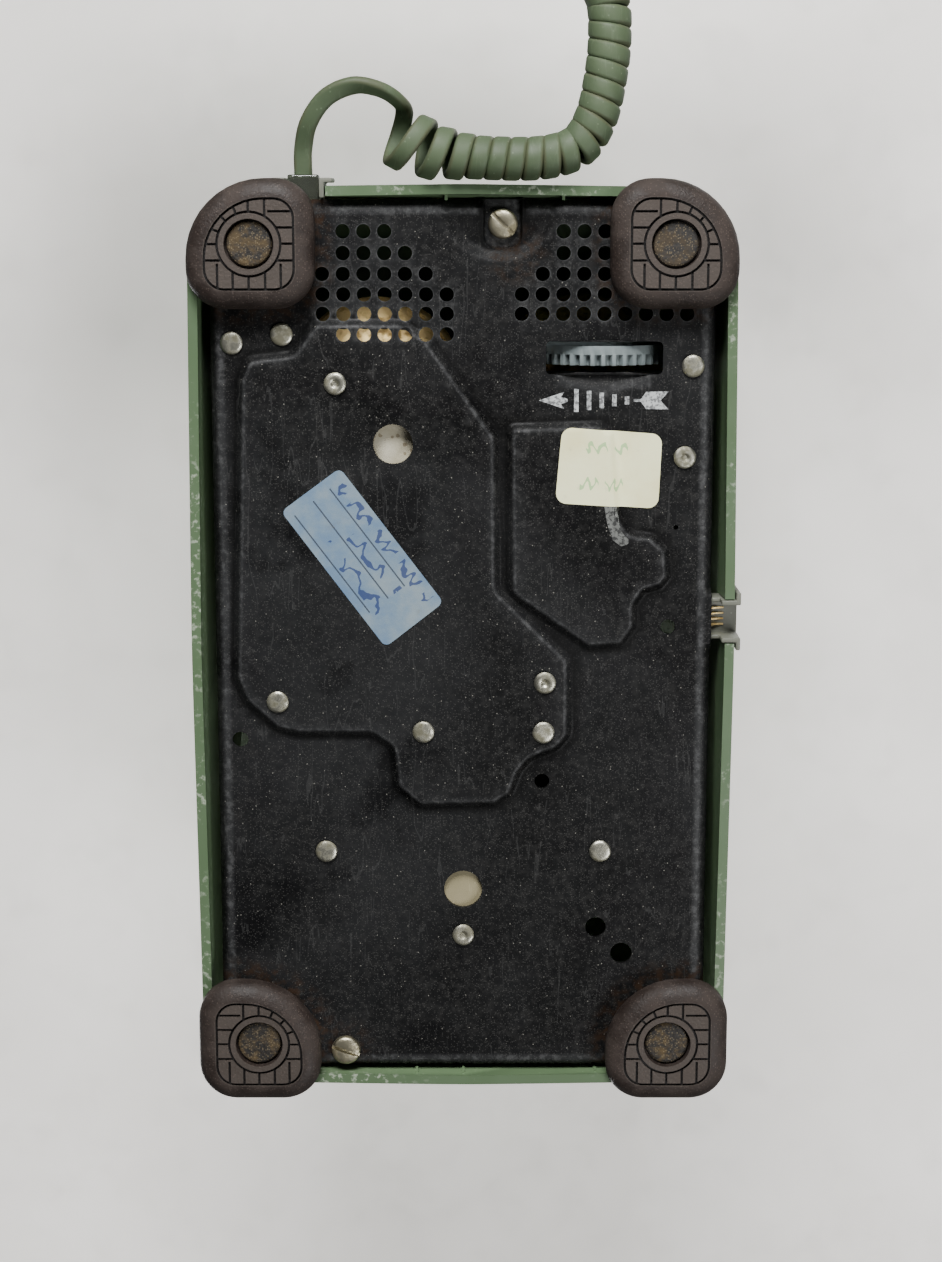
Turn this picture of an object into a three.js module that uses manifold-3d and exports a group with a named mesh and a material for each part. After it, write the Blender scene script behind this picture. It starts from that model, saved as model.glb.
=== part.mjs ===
// A rotary desk telephone with a moulded housing, a pressed-steel base plate on four rubber feet, a bell
// ringer, a dial, a hook switch and a handset on a coiled cord. The handset lies off the hook, behind the set.
//
// Millimetres. +X is to the right of someone who faces the dial, +Y is to the rear and +Z is up. The pieces
// are placed from the middle of the base plate, with the underside of the feet at z = 0, and the whole set is
// then moved so that the origin is under the middle of its bounding box.

import * as THREE from "three";
import { mergeVertices } from "three/addons/utils/BufferGeometryUtils.js";
import Module from "manifold-3d";

const wasm = await Module();
wasm.setup();

// ---------------------------------------------------------------- driving dimensions

const GAP = 0.3; // clearance between pieces that touch
const FAR = 400; // longer than any piece, for cutting tools

const ORIGIN_X = 8; // middle of the whole set, handset included
const ORIGIN_Y = 53.9;

const RIM_Z = 6.5; // underside of the housing
const RIM_HALF_LENGTH = 113;
const RIM_HALF_WIDTH = 66.4;
const RIM_BOW = 1.1; // how far each side swells at its middle
const RIM_CORNER_R = 20;
const WALL = 2.4;

const PLATE_Z = 9; // underside of the base plate
const SHEET = 1.2;
const PLATE_HALF_LENGTH = 110.3;
const PLATE_HALF_WIDTH = 61.9;
const PLATE_CORNER_R = 17;
const PLATE_EDGE_TOP = 14;
const PANEL_DROP = 1.7; // the raised panels stand this far below the plate
const LOUVER_R = 1.75;

const FOOT_SIDE = 31;
const FOOT_HEIGHT = 6;
const FOOT_PLACES = [
  { name: "rear_left", x: -51, y: 99.8, roundX: -1, roundY: 1 },
  { name: "rear_right", x: 51, y: 99.8, roundX: 1, roundY: 1 },
  { name: "front_left", x: -51.8, y: -100.7, roundX: 1, roundY: 1 },
  { name: "front_right", x: 51.8, y: -100.7, roundX: -1, roundY: 1 },
];

const SLOPE = THREE.MathUtils.degToRad(25); // tilt of the dial
const DECK_Z = 93.5;
const SLOPE_START_Y = 30; // where the deck meets the slope
const NOSE_Y = -112.5;
const DIAL_Y = -34;
const DIAL_Z = DECK_Z - (SLOPE_START_Y - DIAL_Y) * Math.tan(SLOPE);
const DIAL_OPENING_R = 54.4;
const FINGER_WHEEL_R = 37;
const FINGER_HOLE_R = 6.6;
const FINGER_HOLE_CIRCLE_R = 28;
const FINGER_HOLE_PITCH = 30; // degrees
const FIRST_HOLE_ANGLE = 50; // degrees clockwise from the top
const STOP_ANGLE = 112;

const EAR_TOP = 112;
const CRADLE_Y = 62;
const PLUNGER_X = 50;
const PLUNGER_R = 3.2;
const PLUNGER_TOP = 101;
const PLUNGER_BOTTOM = 84;
const HOOK_PIVOT_Y = 38;

const JACK_OPENING = 8.2;
const REAR_JACK_X = 38.6;
const SIDE_JACK_Y = 7.3;

const BIG_GONG = { x: 21.5, y: 64.5, z: 15 };
const SMALL_GONG = { x: -31, y: 64, z: 46.5 };
const GONG_R = 22;
const GONG_DEPTH = 12;
const WHEEL = { x: -34.6, y: 72.7, z: 27.3, r: 18, width: 4.8 };
const CLAPPER = { x: -4.75, y: 64, z: 70 };
const BRIDGE_Z = 29;
const BRIDGE_TOP = 31;

const HANDSET_X = 8;
const HANDSET_Y = 196;
const CUP_SPREAD = 80; // from the middle of the handset to the middle of each cup
const CAP_R = 28;
const CAP_HEIGHT = 16;

const CORD_R = 2.4;
const COIL_R = 5;

// ---------------------------------------------------------------- materials

function finish(color, roughness, metalness) {
  return new THREE.MeshStandardMaterial({ color, roughness, metalness });
}

const paintedSteel = () => finish(0x2b2c2d, 0.55, 0.4);
const greenPlastic = () => finish(0x6f8a68, 0.4, 0);
const brownRubber = () => finish(0x4a403b, 0.85, 0);
const zincSteel = () => finish(0xb9b39c, 0.4, 0.9);
const rustySteel = () => finish(0x5d5450, 0.7, 0.6);
const brass = () => finish(0xb08a45, 0.35, 0.9);
const greyPlastic = () => finish(0x9aa3a6, 0.5, 0);
const creamBoard = () => finish(0xc9bf9f, 0.7, 0);
const khakiPlastic = () => finish(0x8b8260, 0.6, 0);
const clearPlastic = () => finish(0xdfe6e3, 0.15, 0);
const copperWinding = () => finish(0x8a4b2a, 0.5, 0.3);
const ivoryPlastic = () => finish(0xe4e0cf, 0.4, 0);

// ---------------------------------------------------------------- shape helpers

// A closed geometry as a solid that can be joined and cut.
function solid(geometry) {
  const bare = geometry.clone();
  bare.deleteAttribute("normal");
  bare.deleteAttribute("uv");
  const merged = mergeVertices(bare, 1e-4);
  const vertProperties = merged.attributes.position.array;
  const triVerts = new Uint32Array(merged.index.array);
  return new wasm.Manifold(new wasm.Mesh({ numProp: 3, vertProperties, triVerts }));
}

function geometryOf(shape) {
  const { vertProperties, triVerts } = shape.getMesh();
  const geometry = new THREE.BufferGeometry();
  geometry.setAttribute("position", new THREE.BufferAttribute(vertProperties, 3));
  geometry.setIndex(new THREE.BufferAttribute(triVerts, 1));
  geometry.computeVertexNormals();
  return geometry;
}

function piece(name, shape, material) {
  const mesh = new THREE.Mesh(geometryOf(shape), material);
  mesh.name = name;
  return mesh;
}

function join(shapes) {
  return shapes.reduce((all, shape) => all.add(shape));
}

function cut(shape, tools) {
  return tools.reduce((left, tool) => left.subtract(tool), shape);
}

function moved(geometry, x, y, z) {
  return geometry.translate(x, y, z);
}

// Corners are [x, y, radius]. Each corner is rounded by an arc of that radius.
function rounded(corners, degreesPerSide = 30) {
  const points = [];
  corners.forEach(([x, y, radius], i) => {
    const here = new THREE.Vector2(x, y);
    const [bx, by] = corners[(i + corners.length - 1) % corners.length];
    const [ax, ay] = corners[(i + 1) % corners.length];
    const before = new THREE.Vector2(bx, by).sub(here).normalize();
    const after = new THREE.Vector2(ax, ay).sub(here).normalize();
    const opening = Math.acos(THREE.MathUtils.clamp(before.dot(after), -1, 1));
    if (!radius || opening > 3.1) {
      points.push(here);
      return;
    }
    const inward = before.clone().add(after).normalize();
    const centre = here.clone().addScaledVector(inward, radius / Math.sin(opening / 2));
    const first = here.clone().addScaledVector(before, radius / Math.tan(opening / 2)).sub(centre);
    const turn = Math.PI - opening;
    const sides = Math.max(1, Math.ceil(THREE.MathUtils.radToDeg(turn) / degreesPerSide));
    const sense = Math.sign(after.cross(before)) || 1;
    for (let k = 0; k <= sides; k += 1) {
      const spoke = first.clone().rotateAround(new THREE.Vector2(), (sense * turn * k) / sides);
      points.push(centre.clone().add(spoke));
    }
  });
  return points;
}

// The outline of a convex shape, moved inwards by a wall.
function inset(points, wall) {
  return points.map((here, i) => {
    const before = points[(i + points.length - 1) % points.length];
    const after = points[(i + 1) % points.length];
    const sideIn = here.clone().sub(before).normalize();
    const sideOut = after.clone().sub(here).normalize();
    const normalIn = new THREE.Vector2(-sideIn.y, sideIn.x);
    const normalOut = new THREE.Vector2(-sideOut.y, sideOut.x);
    const bisector = normalIn.clone().add(normalOut).normalize();
    return here.clone().addScaledVector(bisector, wall / bisector.dot(normalIn));
  });
}

function extruded(points, depth) {
  return new THREE.ExtrudeGeometry(new THREE.Shape(points), { depth, bevelEnabled: false });
}

// An outline in X and Y, from z = low to z = high.
function prism(points, low, high) {
  return solid(moved(extruded(points, high - low), 0, 0, low));
}

// An outline in Y and Z, from x = low to x = high.
function prismAlongX(points, low, high) {
  const geometry = extruded(points, high - low);
  const turn = new THREE.Matrix4().makeBasis(
    new THREE.Vector3(0, 1, 0),
    new THREE.Vector3(0, 0, 1),
    new THREE.Vector3(1, 0, 0),
  );
  return solid(moved(geometry.applyMatrix4(turn), low, 0, 0));
}

// An outline in X and Z, from y = low to y = high.
function prismAlongY(points, low, high) {
  const geometry = extruded(points, high - low);
  return solid(moved(geometry.rotateX(Math.PI / 2), 0, high, 0));
}

function block([lowX, lowY, lowZ], [highX, highY, highZ]) {
  const geometry = new THREE.BoxGeometry(highX - lowX, highY - lowY, highZ - lowZ);
  return solid(moved(geometry, (lowX + highX) / 2, (lowY + highY) / 2, (lowZ + highZ) / 2));
}

// A round bar or hole along Z.
function post(x, y, radius, low, high, sides = 12) {
  const geometry = new THREE.CylinderGeometry(radius, radius, high - low, sides);
  return solid(moved(geometry.rotateX(Math.PI / 2), x, y, (low + high) / 2));
}

// A round bar or hole along Y.
function rodAlongY(x, z, radius, low, high, sides = 12) {
  const geometry = new THREE.CylinderGeometry(radius, radius, high - low, sides);
  return solid(moved(geometry, x, (low + high) / 2, z));
}

// A round bar or hole along X.
function rodAlongX(y, z, radius, low, high, sides = 12) {
  const geometry = new THREE.CylinderGeometry(radius, radius, high - low, sides);
  return solid(moved(geometry.rotateZ(Math.PI / 2), (low + high) / 2, y, z));
}

// A profile of [radius, height] pairs from the bottom to the top, turned about Z.
function turned(profile, sides = 16) {
  const points = profile.map(([radius, height]) => new THREE.Vector2(radius, height));
  return solid(new THREE.LatheGeometry(points, sides).rotateX(Math.PI / 2));
}

function at(shape, x, y, z) {
  return shape.translate([x, y, z]);
}

function slot(x, y, length, width, low, high) {
  const [a, b] = [length / 2, width / 2];
  const corners = [
    [x - a, y - b, b - 0.01],
    [x + a, y - b, b - 0.01],
    [x + a, y + b, b - 0.01],
    [x - a, y + b, b - 0.01],
  ];
  return prism(rounded(corners, 45), low, high);
}

// ---------------------------------------------------------------- base plate

// The two panels that are pressed out of the plate, away from the inside of the set.
const PANEL_A = [
  [55.1, 67, 3],
  [52.8, 72.6, 3],
  [41.8, 73.8, 3],
  [36.3, 81.5, 3],
  [15, 81.5, 4],
  [8.2, 77.4, 4],
  [-8.8, 53.4, 4],
  [-9.1, 15.3, 4],
  [-27.1, -2.3, 4],
  [-27.2, -22.2, 3],
  [-24, -26, 3],
  [-17.4, -28.6, 3],
  [-14.7, -31.7, 2],
  [-12.4, -37.8, 3],
  [-8.1, -40.5, 3],
  [11.3, -40.9, 3],
  [17.1, -35.8, 3],
  [18.3, -25.5, 3],
  [23.2, -22.2, 3],
  [41.4, -22.2, 3],
  [47.1, -20.7, 3],
  [54.7, -13.8, 3],
  [57.3, -7.4, 3],
];
const PANEL_B = [
  [-10.8, 56.1, 2],
  [-33.8, 56.8, 2],
  [-37.3, 54.4, 2],
  [-38.8, 35.2, 3],
  [-41.3, 29.8, 3],
  [-47.1, 29, 3],
  [-51, 25.5, 3],
  [-51.6, 18.1, 1],
  [-49.4, 15.3, 1],
  [-45.2, 14.1, 2],
  [-43.2, 10.8, 2],
  [-43.3, 5.3, 2],
  [-39.9, 0.5, 3],
  [-31.1, -0.3, 3],
  [-11.2, 13.6, 4],
];

// Round holes as [x, y, radius].
const PLATE_HOLES = [
  [56, -23.3, 2],
  [-19.9, -34.1, 1.9],
  [-51.1, 5.5, 1.9],
  [-33.8, -72.5, 2.65],
  [-40.4, -79.4, 2.75],
  [17.1, 51.3, 4.9],
  [0, -62.4, 4.85],
];

// Each row of louver holes: its y, then the first and last x, a pitch apart.
const LOUVER_PITCH = 5.03;
const LOUVER_ROWS = [
  [102.7, 19, 29.1],
  [97.5, 14, 29.1],
  [92.5, 9, 34.2],
  [87.6, 3.9, 34.1],
  [82.9, 3.9, 34.1],
  [78, 3.9, 29.1],
  [102.7, -34.5, -24.4],
  [97.5, -34.5, -24.4],
  [92.5, -34.5, -19.4],
  [87.6, -34.5, -14.4],
  [82.9, -54.6, -14.4],
];

const REAR_SCREW = { x: -9.7, y: 104.5 };
const FRONT_SCREW = { x: 30.2, y: -105.2 };
const SCREW_ZONE = { x: -9, y: 110.3, r: 15.2, rise: 1.5 };

function plateOutline() {
  const [w, l, r] = [PLATE_HALF_WIDTH, PLATE_HALF_LENGTH, PLATE_CORNER_R];
  return rounded([[w, -l, r], [w, l, r], [-w, l, r], [-w, -l, r]], 22.5);
}

function clockwise(corners) {
  return THREE.ShapeUtils.area(corners.map(([x, y]) => new THREE.Vector2(x, y))) < 0;
}

function panelOutline(corners) {
  const ordered = clockwise(corners) ? [...corners].reverse() : corners;
  return rounded(ordered, 45);
}

function louverHoles() {
  const holes = [];
  for (const [y, firstX, lastX] of LOUVER_ROWS) {
    for (let x = firstX; x < lastX + 0.5; x += LOUVER_PITCH) {
      holes.push(post(x, y, LOUVER_R, PLATE_Z - 5, PLATE_Z + 5, 6));
    }
  }
  return holes;
}

function basePlate(rivets) {
  const top = PLATE_Z + SHEET;
  const outline = plateOutline();
  const edge = prism(outline, PLATE_Z, PLATE_EDGE_TOP);
  const hollow = prism(inset(outline, SHEET), top, FAR);
  const panels = [PANEL_A, PANEL_B].map(panelOutline);
  const pressed = panels.map((panel) => prism(panel, PLATE_Z - PANEL_DROP, top));
  const backs = panels.map((panel) => prism(inset(panel, SHEET), PLATE_Z - PANEL_DROP + SHEET, top + 1));
  const zone = SCREW_ZONE;
  const riser = post(zone.x, zone.y, zone.r + SHEET, top - 0.1, top + zone.rise, 20);
  const inside = prism(inset(outline, SHEET), PLATE_Z, PLATE_EDGE_TOP);
  const zoneCut = post(zone.x, zone.y, zone.r, PLATE_Z - 1, PLATE_Z + zone.rise, 20);
  const jackGapX = JACK_OPENING / 2 + 1.8;
  const tools = [
    ...backs,
    zoneCut,
    ...louverHoles(),
    ...PLATE_HOLES.map(([x, y, r]) => post(x, y, r, 0, FAR, 12)),
    ...FOOT_PLACES.map(({ x, y }) => post(x, y, 2.4, 0, FAR, 8)),
    ...rivets.map(([x, y]) => post(x, y, RIVET_SHANK_R + GAP, 0, FAR, 6)),
    slot(-34.6, 72.2, 28.6, 8, 0, FAR),
    block([REAR_SCREW.x - 4.75, REAR_SCREW.y - 3, 0], [REAR_SCREW.x + 4.75, FAR, FAR]),
    post(REAR_SCREW.x, REAR_SCREW.y - 3, 4.7, 0, FAR),
    post(FRONT_SCREW.x, FRONT_SCREW.y, 2.6, 0, FAR, 10),
    block([REAR_JACK_X - jackGapX, 90, top], [REAR_JACK_X + jackGapX, FAR, FAR]),
    block([-FAR, SIDE_JACK_Y - jackGapX, top], [-PLATE_HALF_WIDTH + 12, SIDE_JACK_Y + jackGapX, FAR]),
  ];
  const tray = edge.subtract(hollow).add(riser.intersect(inside));
  return piece("base_plate", cut(join([tray, ...pressed]), tools), paintedSteel());
}

// ---------------------------------------------------------------- rivets, feet and screws

const RIVET_SHANK_R = 1.2;
const BOARD_Z = 11.5;
const BOARD_THICK = 1.5;
const BRACKET_Z = 10.5;
const BRACKET_SHEET = 1.2;

// Each rivet: its place, and the height of what it clamps to the plate.
const RIVETS = [
  { x: 56.4, y: 76, grips: BRACKET_Z + BRACKET_SHEET },
  { x: 44.2, y: 78.1, grips: BRACKET_Z + BRACKET_SHEET },
  { x: 31.2, y: 66.3, grips: PLATE_Z - PANEL_DROP + SHEET },
  { x: 46.3, y: -13.1, grips: BRACKET_Z + BRACKET_SHEET },
  { x: 9.9, y: -20.8, grips: BOARD_Z + BOARD_THICK },
  { x: -20.4, y: -8.2, grips: BOARD_Z + BOARD_THICK },
  { x: -20.2, y: -20.9, grips: BOARD_Z + BOARD_THICK },
  { x: -56.2, y: 70.4, grips: BRACKET_Z + BRACKET_SHEET },
  { x: -54.6, y: 48.1, grips: BRACKET_Z + BRACKET_SHEET },
  { x: 34.7, y: -52.1, grips: BRACKET_Z + BRACKET_SHEET },
  { x: -34.7, y: -52.1, grips: BRACKET_Z + BRACKET_SHEET },
  { x: 0, y: -74.2, grips: BRACKET_Z + BRACKET_SHEET },
];

function holds(corners, x, y) {
  let inside = false;
  corners.forEach(([ax, ay], i) => {
    const [bx, by] = corners[(i + 1) % corners.length];
    if (ay > y !== by > y && x < ((bx - ax) * (y - ay)) / (by - ay) + ax) {
      inside = !inside;
    }
  });
  return inside;
}

function plateUnderside(x, y) {
  return holds(PANEL_A, x, y) || holds(PANEL_B, x, y) ? PLATE_Z - PANEL_DROP : PLATE_Z;
}

function rivet({ x, y, grips }, number) {
  const under = plateUnderside(x, y) - GAP;
  const over = grips + GAP;
  const profile = [
    [0, under - 0.9],
    [1.8, under - 0.7],
    [2.75, under],
    [RIVET_SHANK_R, under],
    [RIVET_SHANK_R, over],
    [2.1, over],
    [2.1, over + 0.6],
    [0, over + 0.6],
  ];
  const shape = at(turned(profile, 7), x, y, 0);
  return piece(`rivet_${number + 1}`, shape, zincSteel());
}

// A square block with three small corners and one large one, which faces (roundX, roundY).
function footOutline(side, smallR, bigR, roundX, roundY) {
  const h = side / 2;
  const corners = [[h, -h], [h, h], [-h, h], [-h, -h]];
  const radii = corners.map(([x, y]) => (x * roundX > 0 && y * roundY > 0 ? bigR : smallR));
  return rounded(corners.map(([x, y], i) => [x, y, radii[i]]), 45);
}

function foot({ name, x, y, roundX, roundY }) {
  const pad = prism(footOutline(FOOT_SIDE, 7.5, 18, roundX, roundY), 0.6, FOOT_HEIGHT);
  const tread = prism(footOutline(FOOT_SIDE - 2, 6.5, 17, roundX, roundY), 0, 0.7);
  const boss = post(0, 0, 6.5, FOOT_HEIGHT - 0.1, PLATE_Z - GAP, 10);
  const hole = post(0, 0, 2.3, -1, FAR, 8);
  const recess = post(0, 0, 5.9, -1, 2.6, 12);
  const shape = cut(join([pad, tread, boss]), [hole, recess]);
  return piece(`foot_${name}`, at(shape, x, y, 0), brownRubber());
}

function footRivet({ name, x, y }) {
  const profile = [
    [0, 1],
    [5.5, 1],
    [5.5, 2.3],
    [2, 2.3],
    [2, 10.5],
    [3.4, 10.5],
    [3.4, 11.3],
    [0, 11.3],
  ];
  return piece(`foot_rivet_${name}`, at(turned(profile, 12), x, y, 0), rustySteel());
}

function housingScrew(name, { x, y }, headR, headLow, headHigh) {
  const profile = [
    [0, headLow],
    [headR - 0.4, headLow],
    [headR, headLow + 0.4],
    [headR, headHigh],
    [1.7, headHigh],
    [1.7, 22],
    [0, 22.6],
  ];
  const blade = block([-headR, -0.5, headLow - 1], [headR, 0.5, headLow + 0.9]);
  const shape = turned(profile, 12).subtract(blade.rotate([0, 0, 45]));
  return piece(`housing_screw_${name}`, at(shape, x, y, 0), brass());
}

// ---------------------------------------------------------------- housing

const BELOW = -40; // the profiles run on below the rim, where the plan prism ends them

function sideProfile() {
  const noseZ = DECK_Z - (SLOPE_START_Y - NOSE_Y) * Math.tan(SLOPE);
  const corners = [
    [-RIM_HALF_LENGTH - 1, RIM_Z, 0],
    [-RIM_HALF_LENGTH - 1, BELOW, 0],
    [RIM_HALF_LENGTH + 1, BELOW, 0],
    [RIM_HALF_LENGTH + 1, RIM_Z, 0],
    [104, DECK_Z, 9],
    [SLOPE_START_Y, DECK_Z, 14],
    [NOSE_Y, noseZ, 13],
  ];
  return rounded(corners, 15);
}

function frontProfile() {
  const half = RIM_HALF_WIDTH + RIM_BOW;
  const corners = [
    [half, BELOW, 0],
    [half, RIM_Z, 0],
    [61, DECK_Z + 0.5, 12],
    [-61, DECK_Z + 0.5, 12],
    [-half, RIM_Z, 0],
    [-half, BELOW, 0],
  ];
  return rounded(corners, 22.5);
}

function planOutline() {
  const [w, l, bow, r] = [RIM_HALF_WIDTH, RIM_HALF_LENGTH, RIM_BOW, RIM_CORNER_R];
  const corners = [
    [w + bow, 0, 0],
    [w, l, r],
    [0, l + 1, 0],
    [-w, l, r],
    [-w - bow, 0, 0],
    [-w, -l, r],
    [0, -l - 1, 0],
    [w, -l, r],
  ];
  return rounded(corners, 15);
}

function body(bottom, wall) {
  const side = prismAlongX(inset(sideProfile(), wall), -FAR / 2, FAR / 2);
  const front = prismAlongY(inset(frontProfile(), wall), -FAR / 2, FAR / 2);
  const plan = prism(inset(planOutline(), wall), bottom, FAR);
  return side.intersect(front).intersect(plan);
}

// One side of the cradle: a front prong and a rear prong with a round saddle between them.
function ear(sense) {
  const foot = DECK_Z - WALL + 0.5;
  const lengthways = [[25, foot, 0], [99, foot, 0], [97.5, EAR_TOP, 6], [27, EAR_TOP, 6]];
  const crossways = [[37, foot, 0], [60.5, foot, 0], [58.5, EAR_TOP + 1, 7], [40, EAR_TOP + 1, 7]];
  const long = prismAlongX(rounded(lengthways, 30), -FAR / 2, FAR / 2);
  const shape = long.intersect(prismAlongY(rounded(crossways, 30), -FAR / 2, FAR / 2));
  return sense > 0 ? shape : shape.mirror([1, 0, 0]);
}

function screwPost({ x, y }, wallY) {
  const [near, far] = wallY > 0 ? [y - 4.5, wallY] : [wallY, y + 4.5];
  const pad = block([x - 4.5, near, PLATE_EDGE_TOP + GAP], [x + 4.5, far, 26]);
  return pad.subtract(post(x, y, 2.1, 0, 24, 8));
}

function housing() {
  const shell = body(RIM_Z, 0);
  const recess = { y: 110, z: 73, r: 15, half: 31 };
  const fingerRecess = rodAlongX(recess.y, recess.z, recess.r, -recess.half, recess.half, 20);
  const wallRound = rodAlongX(
    recess.y,
    recess.z,
    recess.r + WALL,
    -recess.half - WALL,
    recess.half + WALL,
    20,
  );
  const inside = body(-20, WALL).subtract(wallRound);
  const saddle = rodAlongX(CRADLE_Y, EAR_TOP - 1, 18, -FAR / 2, FAR / 2, 24);
  const dialCut = solid(
    new THREE.CylinderGeometry(DIAL_OPENING_R, DIAL_OPENING_R, 40, 48)
      .rotateX(Math.PI / 2 + SLOPE)
      .translate(0, DIAL_Y, DIAL_Z),
  );
  const notch = JACK_OPENING / 2 + 1.2 + GAP;
  const rearNotch = block([REAR_JACK_X - notch, 100, 0], [REAR_JACK_X + notch, FAR, 18.3]);
  const sideNotch = block([-FAR, SIDE_JACK_Y - notch, 0], [-60, SIDE_JACK_Y + notch, 18.3]);
  const plungerHoles = [-1, 1].map((s) => post(s * PLUNGER_X, CRADLE_Y, PLUNGER_R + 0.5, 60, FAR));
  const hollow = shell.subtract(inside);
  const withEars = cut(join([hollow, ear(1), ear(-1)]), [saddle]);
  const posts = [
    screwPost(REAR_SCREW, RIM_HALF_LENGTH - 1.8),
    screwPost(FRONT_SCREW, -RIM_HALF_LENGTH + 2.2),
  ];
  const whole = join([withEars, ...posts]);
  const shape = cut(whole, [fingerRecess, dialCut, rearNotch, sideNotch, ...plungerHoles]);
  return piece("housing", shape, greenPlastic());
}

// ---------------------------------------------------------------- jacks

// A jack as it stands in a wall whose outer face is y = 0, with the outside at +y.
function jackShape() {
  const web = JACK_OPENING / 2 + 1.2;
  const outer = block([-web, -3.3, 6.2], [web, 1.4, 18]);
  const inner = block([-web, -14, 11], [web, -3, 18]);
  const lips = block([-web - 1.95, GAP, 6.2], [web + 1.95, 1.4, 18.6]);
  const opening = JACK_OPENING / 2;
  const channel = block([-opening, -11.5, 0], [opening, 5, 15.4]);
  return join([outer, inner, lips]).subtract(channel);
}

function jack(name, x, y, turnDegrees) {
  const shape = jackShape().rotate([0, 0, turnDegrees]).translate([x, y, 0]);
  return piece(name, shape, greyPlastic());
}

// ---------------------------------------------------------------- network

function networkBoard() {
  const board = block([-24, -24, BOARD_Z], [36, 58, BOARD_Z + BOARD_THICK]);
  const clamped = RIVETS.filter(({ grips }) => grips === BOARD_Z + BOARD_THICK);
  const holes = clamped.map(({ x, y }) => post(x, y, RIVET_SHANK_R + GAP, 0, FAR, 6));
  return piece("network_board", cut(board, holes), creamBoard());
}

function networkCan() {
  const outline = rounded([[-16, -12, 3], [33, -12, 3], [33, 31, 3], [-16, 31, 3]], 45);
  return piece("network_can", prism(outline, BOARD_Z + BOARD_THICK + GAP, 33), khakiPlastic());
}

// ---------------------------------------------------------------- ringer

function gongShape(depth, radius) {
  const skin = 1.3;
  const profile = [
    [2, 0],
    [7, 0],
    [14, 1.4],
    [19.5, 5],
    [radius, depth],
    [radius - skin, depth],
    [18.4, 6],
    [13.5, 1.4 + skin],
    [7, skin],
    [2, skin],
    [2, 0],
  ];
  return turned(profile, 24);
}

function gong(name, { x, y, z }) {
  return piece(name, at(gongShape(GONG_DEPTH, GONG_R), x, y, z), brass());
}

const GONG_POST_R = 3;

function ringerFrame() {
  const bridge = block([-60, 58, BRIDGE_Z], [51.5, 67.5, BRIDGE_TOP]);
  const rightLeg = block([50, 58, BRACKET_Z], [51.5, 81, BRIDGE_TOP]);
  const rightToe = block([41, 73, BRACKET_Z], [60, 81, BRACKET_Z + BRACKET_SHEET]);
  const leftLeg = block([-60, 62, BRACKET_Z], [-53.4, 63.5, BRIDGE_TOP]);
  const leftToe = block([-60, 62, BRACKET_Z], [-53.4, 75, BRACKET_Z + BRACKET_SHEET]);
  const bigPost = post(BIG_GONG.x, BIG_GONG.y, GONG_POST_R, BIG_GONG.z + 1.3 + GAP, BRIDGE_Z + 0.1);
  const smallPost = post(SMALL_GONG.x, SMALL_GONG.y, GONG_POST_R, BRIDGE_TOP - 0.1, SMALL_GONG.z - GAP);
  const axleTab = block([WHEEL.x - 4, 65.5, 22.5], [WHEEL.x + 4, 67.5, BRIDGE_Z + 0.1]);
  const upright = block([-10.5, 52.5, BRIDGE_Z], [4, 54.5, 76]);
  const shelf = block([-10.5, 52.5, BRIDGE_Z], [4, 58.1, BRIDGE_TOP]);
  const tools = [
    ...RIVETS.map(({ x, y }) => post(x, y, RIVET_SHANK_R + GAP, BRACKET_Z - 1, BRACKET_Z + 3, 6)),
    block([CLAPPER.x - 6, 60.3, BRIDGE_Z - 1], [CLAPPER.x + 6, 69, BRIDGE_TOP + 1]),
    rodAlongY(WHEEL.x, WHEEL.z, 2, 60, 69, 10),
    rodAlongY(CLAPPER.x, CLAPPER.z, 1.7, 50, 56, 10),
    post(BIG_GONG.x, BIG_GONG.y, 1.9, 0, 26, 8),
    post(SMALL_GONG.x, SMALL_GONG.y, 1.9, 36, FAR, 8),
  ];
  const solidFrame = join([
    bridge,
    rightLeg,
    rightToe,
    leftLeg,
    leftToe,
    bigPost,
    smallPost,
    axleTab,
    upright,
    shelf,
  ]);
  return piece("ringer_frame", cut(solidFrame, tools), zincSteel());
}

function ringerCoil() {
  const core = post(12, 60, 3, 40, 68.6);
  const winding = post(12, 60, 7.4, BRIDGE_TOP + GAP + 1, 60, 20);
  const flanges = [
    post(12, 60, 8.4, BRIDGE_TOP + GAP, BRIDGE_TOP + GAP + 1.6, 20),
    post(12, 60, 8.4, 59.4, 61, 20),
  ];
  return piece("ringer_coil", join([core, winding, ...flanges]), copperWinding());
}

function gongScrew(name, { x, y }, headLow, headHigh, tip) {
  const head = post(x, y, 4.6, headLow, headHigh, 12);
  const [low, high] = tip > headHigh ? [headLow + 0.5, tip] : [tip, headHigh - 0.5];
  return piece(name, head.add(post(x, y, 1.5, low, high, 8)), zincSteel());
}

function clapper() {
  const { x, y, z } = CLAPPER;
  const rod = post(x, y, 0.9, 21, z, 8);
  const armature = block([x - 9, y - 4, z + 0.4], [x + 21, y + 4, z + 2]);
  const hub = rodAlongY(x, z, 2.4, y - 4, y + 4);
  const pin = rodAlongY(x, z, 1.2, 51.5, y - 3, 8);
  const balls = [
    solid(new THREE.SphereGeometry(3.3, 12, 8).translate(x, y, 52)),
    solid(new THREE.SphereGeometry(2.5, 12, 8).translate(x, y, 21)),
  ];
  return piece("clapper", join([rod, armature, hub, pin, ...balls]), brass());
}

function loudnessWheel() {
  const { x, y, z, r, width } = WHEEL;
  const rim = rodAlongY(x, z, r, y - width / 2, y + width / 2, 30);
  const dish = rodAlongY(x, z, r - 3.5, y, y + width, 24);
  const hub = rodAlongY(x, z, 4, y - width / 2, y + width / 2, 12);
  const axle = rodAlongY(x, z, 1.6, 64.6, y, 8);
  return piece("loudness_wheel", join([cut(rim, [dish]), hub, axle]), greyPlastic());
}

// ---------------------------------------------------------------- hook switch

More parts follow.
